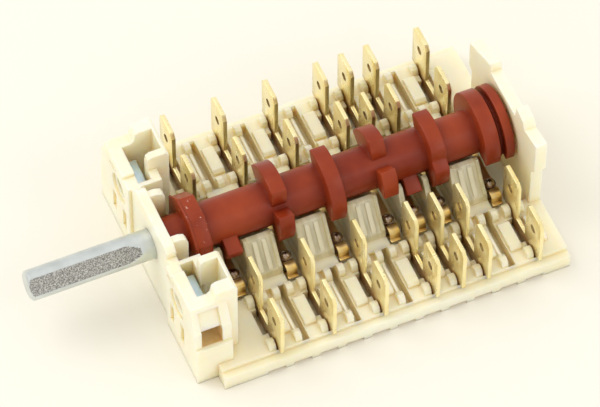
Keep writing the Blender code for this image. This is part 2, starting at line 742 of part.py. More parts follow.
def camshaft_cams():
    """Cams along the tube, the end disc and the body of the detent disc."""
    bm = bmesh.new()
    for step in USED_STATIONS:
        middle = station_x(step)
        outline = cam_outline(CAM_LOBES_DEG[step], CAM_ROOT_RADIUS)
        add_prism_x(bm, outline, middle - CAM_THICKNESS / 2, middle + CAM_THICKNESS / 2)
    end = cam_outline(CAM_LOBES_DEG[USED_STATIONS[-1]], CAM_ROOT_RADIUS)
    add_prism_x(bm, end, END_DISC_START, END_DISC_END)
    add_prism_x(bm, polygon(DETENT_RADIUS, DETENT_SIDES), DETENT_START, DETENT_END)
    return helper(bm, "camshaft_cams")


def detent_rim():
    """Thin raised rim along the front edge of the detent disc."""
    bm = bmesh.new()
    rim = polygon(DETENT_RADIUS + DETENT_RIM, DETENT_SIDES)
    add_prism_x(bm, rim, DETENT_START - SINK / 2, DETENT_START - SINK / 2 + DETENT_RIM_WIDTH)
    return helper(bm, "detent_rim")


def spindle_bore():
    """Blind bore in the front of the camshaft that grips the spindle."""
    bm = bmesh.new()
    radius = SPINDLE_RADIUS + TOUCH_GAP
    add_round_x(bm, [(PLATE_THICKNESS - SINK, radius), (STATION_START + TOUCH_GAP, radius)], 32)
    return helper(bm, "spindle_bore")


def build_camshaft():
    """Build the moulded camshaft."""
    camshaft = object_from(camshaft_core(), "camshaft", (RED_BROWN, 0.35, 0.0))
    combine(camshaft, camshaft_cams(), "UNION")
    combine(camshaft, detent_rim(), "UNION")
    combine(camshaft, spindle_bore(), "DIFFERENCE")
    shade_round(camshaft)
    return camshaft


def spindle_flat():
    """Cutter for the milled flat, which runs out towards the plate."""
    bm = bmesh.new()
    tip = -SPINDLE_REACH - SINK
    end = -SPINDLE_FLAT_CLEAR_OF_PLATE
    over = 2 * SPINDLE_RADIUS
    outline = [
        (tip, SPINDLE_FLAT_OFFSET), (end - SPINDLE_FLAT_RUN_OUT, SPINDLE_FLAT_OFFSET),
        (end, SPINDLE_RADIUS), (end, over), (tip, over),
    ]
    add_prism_y(bm, outline, -over, over)
    turn = Matrix.Rotation(math.radians(SPINDLE_FLAT_TURN_DEG), 4, "X")
    bmesh.ops.transform(bm, matrix=Matrix.Translation((0.0, 0.0, AXIS_HEIGHT)) @ turn, verts=bm.verts)
    return helper(bm, "spindle_flat")


def build_spindle():
    """Build the steel spindle with a milled flat."""
    tip = -SPINDLE_REACH
    profile = [
        (tip, SPINDLE_RADIUS - SPINDLE_TIP_CHAMFER),
        (tip + SPINDLE_TIP_CHAMFER, SPINDLE_RADIUS),
        (STATION_START, SPINDLE_RADIUS),
    ]
    bm = bmesh.new()
    add_round_x(bm, profile, 48)
    spindle = object_from(bm, "spindle", (ZINC, 0.3, 1.0))
    combine(spindle, spindle_flat(), "DIFFERENCE")
    shade_round(spindle)
    return spindle


# Terminals and contacts

def tab_outline(centre, outer_foot, inner_foot):
    """Outline of one tab from its outer foot over the top to its inner foot."""
    half = TAB_WIDTH / 2
    return [
        (centre + half, outer_foot),
        (centre + half, TAB_TOP - TAB_CHAMFER),
        (centre + half - TAB_CHAMFER, TAB_TOP),
        (centre - half + TAB_CHAMFER, TAB_TOP),
        (centre - half, TAB_TOP - TAB_CHAMFER),
        (centre - half, inner_foot),
    ]


def terminal_outline():
    """Outline of the forked terminal, positive Y outwards."""
    foot_outer = SLOT_END_Y - TOUCH_GAP
    foot_inner = TROUGH_HALF_WIDTH + TOUCH_GAP
    foot = SLOT_FLOOR + TOUCH_GAP
    ledge = DECK_TOP + TOUCH_GAP
    crotch = DECK_TOP + FORK_CROTCH_RISE
    outer = tab_outline(OUTER_TAB_Y, ledge, crotch)
    inner = tab_outline(INNER_TAB_Y, crotch, ledge)
    foot_line = [(foot_inner, foot), (foot_outer, foot), (foot_outer, ledge)]
    return foot_line + outer + inner + [(foot_inner, ledge)]


def tab_holes(step):
    """Cutter for the locking holes through the tabs of one station."""
    bm = bmesh.new()
    reach = NEAR_TERMINAL_SHIFT + TAB_THICKNESS
    span = [(station_x(step) - reach, TAB_HOLE_RADIUS), (station_x(step) + reach, TAB_HOLE_RADIUS)]
    for centre in (OUTER_TAB_Y, INNER_TAB_Y):
        for side in both_sides():
            add_round_x(bm, span, 12, side * centre, TAB_TOP - TAB_HOLE_BELOW_TOP)
    return helper(bm, f"tab_holes_{step:02d}")


def build_terminals():
    """Build the fourteen forked terminals."""
    for step in USED_STATIONS:
        holes = tab_holes(step)
        for side, label in ((-1, "near"), (1, "far")):
            x = slot_x(step, side)
            bm = bmesh.new()
            add_prism_x(bm, mirrored(terminal_outline(), side), x - TAB_THICKNESS / 2, x + TAB_THICKNESS / 2)
            terminal = object_from(bm, f"terminal_{label}_{step:02d}", (BRASS, 0.25, 1.0))
            combine(terminal, holes, "DIFFERENCE")


def add_ribbon(bm, line, x_start, x_end, thickness):
    """Add a bent strip of one thickness that follows a (y, z) line."""
    upper = []
    lower = []
    for i, point in enumerate(line):
        before = Vector(line[max(0, i - 1)])
        after = Vector(line[min(len(line) - 1, i + 1)])
        along = (after - before).normalized()
        across = Vector((-along.y, along.x)) * (thickness / 2)
        upper.append(tuple(Vector(point) + across))
        lower.append(tuple(Vector(point) - across))
    add_prism_x(bm, upper + list(reversed(lower)), x_start, x_end)


def leaf_line():
    """Line of the moving leaf from its root beside the near deck to its tip under the camshaft."""
    root = DECK_TOP + TOUCH_GAP + LEAF_THICKNESS / 2
    seat = LEAF_SEAT + LEAF_THICKNESS / 2
    nose = LEAF_NOSE - LEAF_THICKNESS / 2
    start = TOUCH_GAP - TROUGH_HALF_WIDTH
    bend = start + 0.8
    flat_start = -CONTACT_Y - CONTACT_RADIUS
    flat_end = CONTACT_RADIUS - CONTACT_Y
    line = [(start, root), (bend, root)]
    middle = (bend + flat_start) / 2
    reach = (flat_start - bend) / 2
    count = 4
    for i in range(1, count):
        turn = math.pi * (1.0 - i / count)
        line.append((middle + reach * math.cos(turn), seat + LEAF_HUMP * (0.35 + 0.65 * math.sin(turn))))
    line += [(flat_start, seat), (flat_end, seat)]
    return line + [(-2.6, nose - 0.3), (-1.4, nose), (-0.4, nose), (0.6, nose - 0.5)]


def contact_x(step):
    """Return the middle of the contact pair of a station."""
    return station_x(step) - CONTACT_SHIFT


def build_leaves():
    """Build the seven moving contact leaves, each with a hole for its rivet."""
    for step in USED_STATIONS:
        x = contact_x(step)
        bm = bmesh.new()
        add_ribbon(bm, leaf_line(), x - LEAF_WIDTH / 2, x + LEAF_WIDTH / 2, LEAF_THICKNESS)
        leaf = object_from(bm, f"contact_leaf_{step:02d}", (COPPER, 0.25, 1.0))
        hole = bmesh.new()
        span = [(LEAF_SEAT - 1.0, RIVET_HOLE_RADIUS), (LEAF_SEAT + LEAF_THICKNESS + 1.0, RIVET_HOLE_RADIUS)]
        add_cylinder_z(hole, x, -CONTACT_Y, span, 12)
        combine(leaf, helper(hole, f"leaf_hole_{step:02d}"), "DIFFERENCE")


def build_strips():
    """Build the seven fixed contact strips, which lead to the far deck."""
    middle = FLOOR_THICKNESS + TOUCH_GAP + STRIP_THICKNESS / 2
    line = [(TROUGH_HALF_WIDTH - TOUCH_GAP, middle), (-CONTACT_Y - CONTACT_RADIUS, middle)]
    for step in USED_STATIONS:
        x = contact_x(step)
        bm = bmesh.new()
        add_ribbon(bm, line, x - LEAF_WIDTH / 2, x + LEAF_WIDTH / 2, STRIP_THICKNESS)
        object_from(bm, f"contact_strip_{step:02d}", (BRASS, 0.3, 1.0))


def rivet_profile():
    """Profile of a moving contact: lower face, shank through the leaf and domed head."""
    under = LEAF_SEAT - TOUCH_GAP
    over = LEAF_SEAT + LEAF_THICKNESS + TOUCH_GAP
    return [
        (under - RIVET_FOOT, CONTACT_RADIUS * 0.7), (under - RIVET_FOOT * 0.6, CONTACT_RADIUS),
        (under, CONTACT_RADIUS), (under, RIVET_SHANK_RADIUS), (over, RIVET_SHANK_RADIUS),
        (over, CONTACT_RADIUS), (over + RIVET_HEAD * 0.4, CONTACT_RADIUS),
        (over + RIVET_HEAD * 0.8, CONTACT_RADIUS * 0.65), (over + RIVET_HEAD, CONTACT_RADIUS * 0.25),
    ]


def button_profile():
    """Profile of a fixed contact button."""
    low = FLOOR_THICKNESS + STRIP_THICKNESS + 2 * TOUCH_GAP
    top = low + BUTTON_HEIGHT
    return [(low, CONTACT_RADIUS), (low + 0.6 * BUTTON_HEIGHT, CONTACT_RADIUS), (top, CONTACT_RADIUS * 0.6)]


def build_contacts():
    """Build the moving contact rivets and the fixed contact buttons below them."""
    for step in USED_STATIONS:
        for name, profile in (("moving_contact", rivet_profile()), ("fixed_contact", button_profile())):
            bm = bmesh.new()
            add_cylinder_z(bm, contact_x(step), -CONTACT_Y, profile, 12)
            contact = object_from(bm, f"{name}_{step:02d}", (SILVER, 0.25, 1.0))
            shade_round(contact)


def build_detent_spring():
    """Build the bowed leaf that presses on a flat of the detent disc."""
    reach = DETENT_RADIUS * math.cos(math.pi / DETENT_SIDES)
    crown = AXIS_HEIGHT - reach - TOUCH_GAP - LEAF_THICKNESS / 2
    foot = FLOOR_THICKNESS + TOUCH_GAP + LEAF_THICKNESS / 2
    end = EAR_INNER_Y - 1.8
    half = [
        (-end, foot), (0.9 - end, foot), (1.7 - end, foot + 0.2 * (crown - foot)),
        (-0.45 * end, crown - 0.2 * (crown - foot)), (-0.3 * end, crown), (0.0, crown),
    ]
    line = half + [(-y, z) for y, z in reversed(half[:-1])]
    bm = bmesh.new()
    start = DETENT_START + DETENT_RIM_WIDTH + TOUCH_GAP
    add_ribbon(bm, line, start, DETENT_END - TOUCH_GAP, LEAF_THICKNESS)
    object_from(bm, "detent_spring", (SPRING_STEEL, 0.3, 1.0))


def build_nuts():
    """Build the square nuts that sit in the ears."""
    start = NUT_SLOT_START + TOUCH_GAP
    end = start + NUT_THICKNESS
    half = NUT_SIDE / 2
    for side, label in ((-1, "near"), (1, "far")):
        middle = side * SCREW_SPACING / 2
        bm = bmesh.new()
        add_box(bm, (start, middle - half, SCREW_Z - half), (end, middle + half, SCREW_Z + half))
        nut = object_from(bm, f"square_nut_{label}", (ZINC, 0.35, 1.0))
        hole = bmesh.new()
        add_round_x(hole, [(start - 1.0, NUT_HOLE_RADIUS), (end + 1.0, NUT_HOLE_RADIUS)], 20, middle, SCREW_Z)
        combine(nut, helper(hole, f"nut_hole_{label}"), "DIFFERENCE")


def main():
    """Build every sub-part of the switch."""
    clear_scene()
    build_frame()
    build_camshaft()
    build_spindle()
    build_terminals()
    build_leaves()
    build_strips()
    build_contacts()
    build_detent_spring()
    build_nuts()


main()
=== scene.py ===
"""Looks of an oven selector switch with an open frame.

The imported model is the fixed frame. Metal pieces and the camshaft get finer shapes with rounded
edges, the moulding keeps its solid and gets its fine trim, and every piece gets its own finish.
Shapes are in millimetres, measured behind the face of the front plate, and +X runs to the rear.
Finishes are in metres, measured from the frame's origin.
"""
import logging
import math
from dataclasses import dataclass, field
from enum import Enum

import bmesh
import bpy
from mathutils import Matrix, Vector


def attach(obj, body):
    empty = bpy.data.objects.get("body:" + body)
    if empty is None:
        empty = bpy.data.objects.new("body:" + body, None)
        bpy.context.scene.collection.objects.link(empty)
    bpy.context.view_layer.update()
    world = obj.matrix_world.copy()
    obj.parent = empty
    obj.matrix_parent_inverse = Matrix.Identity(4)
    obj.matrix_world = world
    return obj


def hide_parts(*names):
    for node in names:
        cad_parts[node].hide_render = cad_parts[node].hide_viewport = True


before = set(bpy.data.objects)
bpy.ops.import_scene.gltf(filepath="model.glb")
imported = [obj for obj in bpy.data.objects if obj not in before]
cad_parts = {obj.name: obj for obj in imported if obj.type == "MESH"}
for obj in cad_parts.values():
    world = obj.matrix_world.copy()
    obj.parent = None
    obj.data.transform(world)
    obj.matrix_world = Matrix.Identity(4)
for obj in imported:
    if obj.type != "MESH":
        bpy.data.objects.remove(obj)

BMesh = bmesh.types.BMesh
Material = bpy.types.Material
Socket = bpy.types.NodeSocket

LOG = logging.getLogger("selector_switch")
MM = 0.001
STATIONS = (0, 2, 4, 6, 7, 8, 10)
EMPTY_STATIONS = (1, 3, 5, 9)
WELD = 1e-5
SEAM_WELD = 1e-4
WALL_LIMIT = 0.5  # a face whose normal has less than this along X runs along X


class Body(Enum):
    """Rigid bodies that a piece can ride on."""

    FRAME = "switch_frame"
    SHAFT = "turning_shaft"


class Side(Enum):
    """The two terminal rows, with the sign of their Y."""

    NEAR = -1
    FAR = 1

    @property
    def label(self) -> str:
        """Word used in the names of the row's pieces."""
        return self.name.lower()


class PlateSlot(Enum):
    """Places of a terminal plate's finishes after the first, which is on its broad faces."""

    # painted shade: darker brass on the walls of the locking holes
    HOLE = 1
    # painted reflection: darker brass on the edges that face the camshaft
    EDGE_REFLECTION = 2


class RodSlot(Enum):
    """Places of the spindle's finishes after the first, which is on the round rod."""

    FLAT = 1


@dataclass(frozen=True)
class Layout:
    """Sizes that several pieces share."""

    front_x: float = -24.8435
    axis_z: float = 14.0
    deck_top: float = 4.2
    station_start: float = 14.15
    half_pitch: float = 5.3
    near_shift: float = 1.325
    far_shift: float = -1.113

    def slot(self, step: int, side: Side) -> float:
        """Return the middle of a terminal slot behind the front plate."""
        return self.station(step) + (self.near_shift if side is Side.NEAR else self.far_shift)

    def station(self, step: int) -> float:
        """Return the middle of a station, a number of half pitches behind the first one."""
        return self.station_start + self.half_pitch * step


LAYOUT = Layout()


def finished_piece(bm: BMesh, name: str, body: Body, finishes: list, nodes: tuple = (),
                   smooth_deg: float = 40.0) -> None:
    """Turn a mesh drawn in millimetres into a dressed piece that rides on its body.

    Args:
        bm: the mesh, measured behind the front plate; it is freed.
        name: name of the piece.
        body: the body that it rides on.
        finishes: materials in slot order.
        nodes: solids that the piece stands for.
        smooth_deg: angle past which an edge stays sharp.
    """
    bmesh.ops.remove_doubles(bm, verts=bm.verts, dist=WELD)
    bmesh.ops.recalc_face_normals(bm, faces=bm.faces)
    bmesh.ops.translate(bm, verts=bm.verts, vec=(LAYOUT.front_x, 0.0, 0.0))
    bmesh.ops.scale(bm, verts=bm.verts, vec=(MM, MM, MM))
    mesh = bpy.data.meshes.new(name)
    bm.to_mesh(mesh)
    bm.free()
    obj = bpy.data.objects.new(name, mesh)
    bpy.context.scene.collection.objects.link(obj)
    for finish in finishes:
        mesh.materials.append(finish)
    mesh.shade_smooth()
    mesh.set_sharp_from_angle(angle=math.radians(smooth_deg))
    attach(obj, body.value)
    if nodes:
        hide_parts(*nodes)
    LOG.info("piece %s", name)


def dress_node(node: str, finish: Material) -> None:
    """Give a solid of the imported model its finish.

    Args:
        node: the solid's name.
        finish: its material.
    """
    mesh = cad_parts[node].data
    mesh.materials.clear()
    mesh.materials.append(finish)
    LOG.info("finish on %s", node)


def thickened(bm: BMesh, faces: list, thickness: float) -> None:
    """Turn flat faces that stand across X into closed blocks.

    Args:
        bm: the mesh.
        faces: the front faces.
        thickness: how far the blocks run to the rear.
    """
    walls = bmesh.ops.extrude_face_region(bm, geom=faces, use_keep_orig=True)
    moved = [v for v in walls["geom"] if isinstance(v, bmesh.types.BMVert)]
    bmesh.ops.translate(bm, verts=moved, vec=(thickness, 0.0, 0.0))
    bmesh.ops.recalc_face_normals(bm, faces=bm.faces)


def add_block(bm: BMesh, x: float, points: list, thickness: float) -> None:
    """Add a closed block with a given outline.

    Args:
        bm: the mesh to add to.
        x: the front face.
        points: the outline's (y, z) corners in order.
        thickness: how far the block runs to the rear.
    """
    thickened(bm, [bm.faces.new([bm.verts.new((x, y, z)) for y, z in points])], thickness)


def holed_plate(x: float, points: list, holes: list, radius: float, sides: int, thickness: float) -> BMesh:
    """Return a plate across X with round holes.

    Args:
        x: the front face.
        points: the outline's (y, z) corners in order.
        holes: (y, z) middles of the holes.
        radius: radius of the holes.
        sides: faces round a hole.
        thickness: how far the plate runs to the rear.

    Returns:
        A new mesh in millimetres.
    """
    bm = bmesh.new()
    verts = [bm.verts.new((x, y, z)) for y, z in points]
    edges = [bm.edges.new(pair) for pair in zip(verts, verts[1:] + verts[:1])]
    for y, z in holes:
        place = Matrix.Translation((x, y, z)) @ Matrix.Rotation(math.pi / 2, 4, "Y")
        ring = bmesh.ops.create_circle(bm, segments=sides, radius=radius, matrix=place)
        edges += dict.fromkeys(e for v in ring["verts"] for e in v.link_edges)  # each edge once, in order
    bmesh.ops.triangle_fill(bm, edges=edges, use_beauty=True, use_dissolve=False)
    thickened(bm, bm.faces[:], thickness)
    return bm


def rounded_edges(bm: BMesh, width: float, segments: int, sharper_than: float,
                  left_sharp: frozenset | set = frozenset()) -> None:
    """Round every edge that is sharper than an angle.

    Args:
        bm: the mesh.
        width: bevel width in millimetres.
        segments: faces across the round.
        sharper_than: least angle between the two faces, in degrees.
        left_sharp: edges that stay as they are.
    """
    limit = math.radians(sharper_than)
    edges = [e for e in bm.edges if len(e.link_faces) == 2 and e.calc_face_angle(0.0) > limit]
    edges = [e for e in edges if e not in left_sharp]
    bmesh.ops.bevel(bm, geom=edges, offset=width, offset_type="OFFSET", segments=segments, profile=0.5,
                    affect="EDGES", clamp_overlap=True, material=-1)


def spun(places: list, centre: tuple, axis: tuple, sides: int) -> BMesh:
    """Return a closed skin spun from a line that starts and ends on the axis.

    Args:
        places: the line's points.
        centre: a point on the axis.
        axis: the axis' direction.
        sides: faces round the axis.

    Returns:
        A new mesh in millimetres.
    """
    bm = bmesh.new()
    verts = [bm.verts.new(place) for place in places]
    edges = [bm.edges.new(pair) for pair in zip(verts, verts[1:])]
    bmesh.ops.spin(bm, geom=verts + edges, cent=centre, axis=axis, angle=math.tau, steps=sides,
                   use_merge=True)
    bmesh.ops.remove_doubles(bm, verts=bm.verts, dist=SEAM_WELD)
    return bm


def turned(profile: list, sides: int) -> BMesh:
    """Return an (x, radius) profile spun about the spindle's axis."""
    places = [(x, 0.0, LAYOUT.axis_z + radius) for x, radius in profile]
    return spun(places, (0.0, 0.0, LAYOUT.axis_z), (1.0, 0.0, 0.0), sides)


class Nodes:
    """Small helper that wires a material's nodes."""

    NOISE_MIDDLE = (0.3, 0.7)
    SHELTER_SPAN = (0.15, 0.85)
    SHELTER_SAMPLES = 8
    EDGE_SAMPLES = 4
    BUMP_REACH = 0.0001
    MIX_COLOURS = (6, 7)
    MIX_RESULT = 2

    def __init__(self, name: str) -> None:
        """Start a material with a Principled shader and object coordinates.

        Args:
            name: the material's name.
        """
        self.mat = bpy.data.materials.new(name)
        self.mat.use_nodes = True
        self.tree = self.mat.node_tree
        self.shader = self.tree.nodes["Principled BSDF"]
        self.coords = self.add("ShaderNodeTexCoord").outputs["Object"]

    def add(self, kind: str, **values) -> bpy.types.Node:
        """Add a node and set its properties or inputs.

        Args:
            kind: the node's class name.
            **values: properties, or inputs named with underscores for spaces.

        Returns:
            The new node.
        """
        node = self.tree.nodes.new(kind)
        for key, value in values.items():
            if key.replace("_", " ") in node.inputs:
                node.inputs[key.replace("_", " ")].default_value = value
            else:
                setattr(node, key, value)
        return node

    def link(self, out: Socket, into: Socket) -> None:
        """Join two sockets."""
        self.tree.links.new(out, into)

    def shade(self, **values: Socket | float | tuple) -> Material:
        """Feed inputs of the shader.

        Args:
            **values: sockets or constants, named with underscores for spaces.

        Returns:
            The material.
        """
        for key, value in values.items():
            socket = self.shader.inputs[key.replace("_", " ")]
            if isinstance(value, Socket):
                self.link(value, socket)
            else:
                socket.default_value = value
        return self.mat

    def stretched(self, scale: tuple) -> Socket:
        """Return the object coordinates scaled along each axis.

        Args:
            scale: three factors.

        Returns:
            The vector socket.
        """
        mapping = self.add("ShaderNodeMapping", Scale=scale)
        self.link(self.coords, mapping.inputs["Vector"])
        return mapping.outputs["Vector"]

    def noise(self, scale: float, detail: float, coords: Socket | None = None,
              roughness: float = 0.55) -> Socket:
        """Return a noise pattern.

        Args:
            scale: how fine the pattern is.
            detail: number of finer layers.
            coords: where it is read, or None for the object coordinates.
            roughness: how much the finer layers count.

        Returns:
            The factor socket.
        """
        node = self.add("ShaderNodeTexNoise", Scale=scale, Detail=detail, Roughness=roughness)
        self.link(coords or self.coords, node.inputs["Vector"])
        return node.outputs["Fac"]

    def ramp(self, factor: Socket, stops: list) -> Socket:
        """Return a colour ramp's colour.

        Args:
            factor: the driving socket.
            stops: (position, (r, g, b)) pairs in rising order.

        Returns:
            The colour socket.
        """
        node = self.add("ShaderNodeValToRGB")
        while len(node.color_ramp.elements) < len(stops):
            node.color_ramp.elements.new(0.5)
        for element, (position, colour) in zip(node.color_ramp.elements, stops):
            element.position = position
            element.color = (*colour, 1.0)
        self.link(factor, node.inputs["Fac"])
        return node.outputs["Color"]

    def spread(self, factor: Socket, middle: float, swing: tuple) -> Socket:
        """Return a number that follows a noise pattern, over a swing about a middle."""
        return self.mapped(factor, self.NOISE_MIDDLE, (middle + swing[0], middle + swing[1]))

    def bump(self, height: Socket, strength: float, normal: Socket | None = None) -> Socket:
        """Return a bumped normal.

        Args:
            height: the pattern that is pressed in.
            strength: how much of it shows.
            normal: the normal that it starts from, or None for the mesh's own.

        Returns:
            The normal socket.
        """
        node = self.add("ShaderNodeBump", Strength=strength, Distance=self.BUMP_REACH)
        self.link(height, node.inputs["Height"])
        if normal is not None:
            self.link(normal, node.inputs["Normal"])
        return node.outputs["Normal"]

    def mixed(self, factor: Socket, first: Socket, second: tuple) -> Socket:
        """Return a colour mixed with a fixed one.

        Args:
            factor: share of the fixed colour.
            first: the colour to start from.
            second: the fixed colour.

        Returns:
            The colour socket.
        """
        node = self.add("ShaderNodeMix", data_type="RGBA")
        self.link(factor, node.inputs["Factor"])
        self.link(first, node.inputs[self.MIX_COLOURS[0]])
        node.inputs[self.MIX_COLOURS[1]].default_value = (*second, 1.0)
        return node.outputs[self.MIX_RESULT]

    def mapped(self, value: Socket, source: tuple, target: tuple) -> Socket:
        """Return a value mapped from one span to another and held at its ends.

        Args:
            value: the driving socket.
            source: span of the value.
            target: span of the result.

        Returns:
            The value socket.
        """
        node = self.add("ShaderNodeMapRange")
        for name, number in zip(("From Min", "From Max", "To Min", "To Max"), (*source, *target)):
            node.inputs[name].default_value = number
        self.link(value, node.inputs["Value"])
        return node.outputs["Result"]

    def product(self, factors: list) -> Socket:
        """Return the product of several factors.

        Args:
            factors: two sockets or more.

        Returns:
            The value socket.
        """
        result = factors[0]
        for factor in factors[1:]:
            node = self.add("ShaderNodeMath", operation="MULTIPLY")
            self.link(result, node.inputs[0])
            self.link(factor, node.inputs[1])
            result = node.outputs[0]
        return result

    def inside_box(self, low: tuple, high: tuple, soft: float) -> Socket:
        """Return 1 inside a box that is alike on both sides of the axis, fading over a soft margin.

        Args:
            low: least X, least distance from the axis across, and least Z, in metres.
            high: the greatest of the same.
            soft: width of the margin, in metres.

        Returns:
            The factor socket.
        """
        split = self.add("ShaderNodeSeparateXYZ")
        self.link(self.coords, split.inputs[0])
        across = self.add("ShaderNodeMath", operation="ABSOLUTE")
        self.link(split.outputs["Y"], across.inputs[0])
        factors = []
        for value, least, most in zip((split.outputs["X"], across.outputs[0], split.outputs["Z"]), low, high):
            factors.append(self.mapped(value, (least - soft, least), (0.0, 1.0)))
            factors.append(self.mapped(value, (most, most + soft), (1.0, 0.0)))
        return self.product(factors)

    def painted_shade_mask(self, reach: float, most: float) -> Socket:
        """Return how sheltered a place is, from 0 in the open to a given share in deep recesses, as the mask
        of painted shade.

        Args:
            reach: how far away walls still count, in metres.
            most: the share in the deepest recess.

        Returns:
            The factor socket.
        """
        node = self.add("ShaderNodeAmbientOcclusion", samples=self.SHELTER_SAMPLES, Distance=reach)
        return self.mapped(node.outputs["AO"], self.SHELTER_SPAN, (most, 0.0))

    def soft_edges(self, radius: float) -> Socket:
        """Return a normal that rounds off edges of the given radius in metres."""
        return self.add("ShaderNodeBevel", samples=self.EDGE_SAMPLES, Radius=radius).outputs["Normal"]


@dataclass(frozen=True)
class Patch:
    """A box in which a second colour shows in a noise pattern."""

    colour: tuple
    low: tuple
    high: tuple
    soft: float
    scale: float
    span: tuple
    share: tuple
    detail: float = 2.0
    stretch: tuple = (1.0, 1.0, 1.0)

    def over(self, nodes: Nodes, tone: Socket) -> Socket:
        """Return a tone with the patch mixed in.

        Args:
            nodes: the material's nodes.
            tone: the colour to start from.

        Returns:
            The colour socket.
        """
        pattern = nodes.noise(self.scale, self.detail, nodes.stretched(self.stretch))
        share = nodes.mapped(pattern, self.span, self.share)
        box = nodes.inside_box(self.low, self.high, self.soft)
        return nodes.mixed(nodes.product([box, share]), tone, self.colour)


# painted shade: grey-olive on the saddle walls in the camshaft's shade
GREY_SADDLE_SHADE = Patch((0.50, 0.46, 0.28), (-0.0143, 0.0, 0.0054), (0.0455, 0.0103, 0.0125), 0.0008, scale=1.0,
                     span=(0.35, 0.65), share=(0.35, 0.85), stretch=(900.0, 90.0, 90.0))
# painted shade: amber in the shadowed windows of the ears
AMBER_WINDOW_SHADE = Patch((0.68, 0.43, 0.11), (-0.0244, 0.0150, 0.0103), (-0.0199, 0.0231, 0.0137), 0.0002,
                      scale=500.0, span=(0.3, 0.7), share=(0.6, 0.95))
WORN_SPECKS = Patch((0.62, 0.42, 0.34), (-0.0186, 0.0, 0.0), (-0.0146, 0.0100, 0.0300), 0.0003,
                    scale=1300.0, span=(0.665, 0.71), share=(0.0, 0.85), detail=3.0)


@dataclass(frozen=True)
class MouldedPlastic:
    """A moulded plastic with a faint grain, slow changes of tone and painted shade, a richer darker tone, in
    its recesses.
    """

    name: str
    pale: tuple
    deep: tuple
    # painted shade: the colour, reach and greatest share of the darkening mixed into recesses
    painted_shade: tuple
    roughness: float
    grain: float
    edge_radius: float = 0.0001
    subsurface: float = 0.0
    gloss: float = 0.5
    patches: tuple = ()
    tone_scale: float = 90.0
    tone_span: tuple = (0.32, 0.68)
    roughness_swing: tuple = (-0.05, 0.06)
    grain_scale: float = 2600.0
    painted_shade_reach: float = 0.003
    painted_shade_share: float = 0.75
    glow_tint: tuple = (1.0, 0.8, 0.5)
    glow_depth: float = 0.0026
    ior: float = 1.5

    def make(self) -> Material:
        """Return the material.

        Returns:
            The moulded plastic, with its patches laid over the plain tone.
        """
        nodes = Nodes(self.name)
        slow = nodes.noise(self.tone_scale, detail=3.0)
        tone = nodes.ramp(slow, list(zip(self.tone_span, (self.deep, self.pale))))
        for patch in self.patches:
            tone = patch.over(nodes, tone)
        # painted shade: darkens the tone where walls stand close by
        tone = nodes.mixed(nodes.painted_shade_mask(self.painted_shade_reach, self.painted_shade_share), tone, self.painted_shade)
        fine = nodes.noise(self.grain_scale, detail=2.0)
        return nodes.shade(
            Base_Color=tone, Roughness=nodes.spread(slow, self.roughness, self.roughness_swing),
            Normal=nodes.bump(fine, self.grain, nodes.soft_edges(self.edge_radius)), IOR=self.ior,
            Specular_IOR_Level=self.gloss, Subsurface_Weight=self.subsurface,
            Subsurface_Radius=self.glow_tint, Subsurface_Scale=self.glow_depth)


@dataclass(frozen=True)
class WorkedMetal:
    """A rolled, turned or plated metal with fine lines along one direction and painted shade in its recesses.
    """

    name: str
    bright: tuple
    dull: tuple
    roughness: float
    line_scale: tuple
    line_depth: float
    # painted shade: the colour, greatest share and reach of the darkening mixed into recesses
    painted_shade: tuple = (0.10, 0.08, 0.06)
    painted_shade_share: float = 0.3
    painted_shade_reach: float = 0.0015
    edge_radius: float = 0.00006
    metallic: float = 1.0
    cloud_scale: float = 240.0
    tone_span: tuple = (0.30, 0.62)
    roughness_swing: tuple = (-0.06, 0.10)

    def make(self) -> Material:
        """Return the material.

        Returns:
            The metal, clouded between its two tones and darkened by painted shade in recesses.
        """
        nodes = Nodes(self.name)
        lines = nodes.noise(1.0, 3.0, nodes.stretched(self.line_scale), roughness=0.6)
        cloud = nodes.noise(self.cloud_scale, detail=4.0)
        tone = nodes.ramp(cloud, list(zip(self.tone_span, (self.dull, self.bright))))
        # painted shade: darkens the tone where walls stand close by
        tone = nodes.mixed(nodes.painted_shade_mask(self.painted_shade_reach, self.painted_shade_share), tone, self.painted_shade)
        return nodes.shade(
            Base_Color=tone, Metallic=self.metallic,
            Roughness=nodes.spread(lines, self.roughness, self.roughness_swing),
            Normal=nodes.bump(lines, self.line_depth, nodes.soft_edges(self.edge_radius)))


@dataclass(frozen=True)
class MilledMetal:
    """A coarsely milled metal face, speckled light and dark."""

    name: str
    bright: tuple
    middle: tuple
    dark: tuple
    speckle_scale: float
    roughness: float
    tone_span: tuple = (0.38, 0.50, 0.66)
    roughness_swing: tuple = (0.1, -0.1)
    depth: float = 0.5

    def make(self) -> Material:
        """Return the material.

        Returns:
            The metal, with its bright speckles smoother than the dark ones.
        """
        nodes = Nodes(self.name)
        speckle = nodes.noise(self.speckle_scale, detail=2.5, roughness=0.7)
        return nodes.shade(
            Base_Color=nodes.ramp(speckle, list(zip(self.tone_span, (self.dark, self.middle, self.bright)))),
            Metallic=1.0, Roughness=nodes.spread(speckle, self.roughness, self.roughness_swing),
            Normal=nodes.bump(speckle, self.depth))


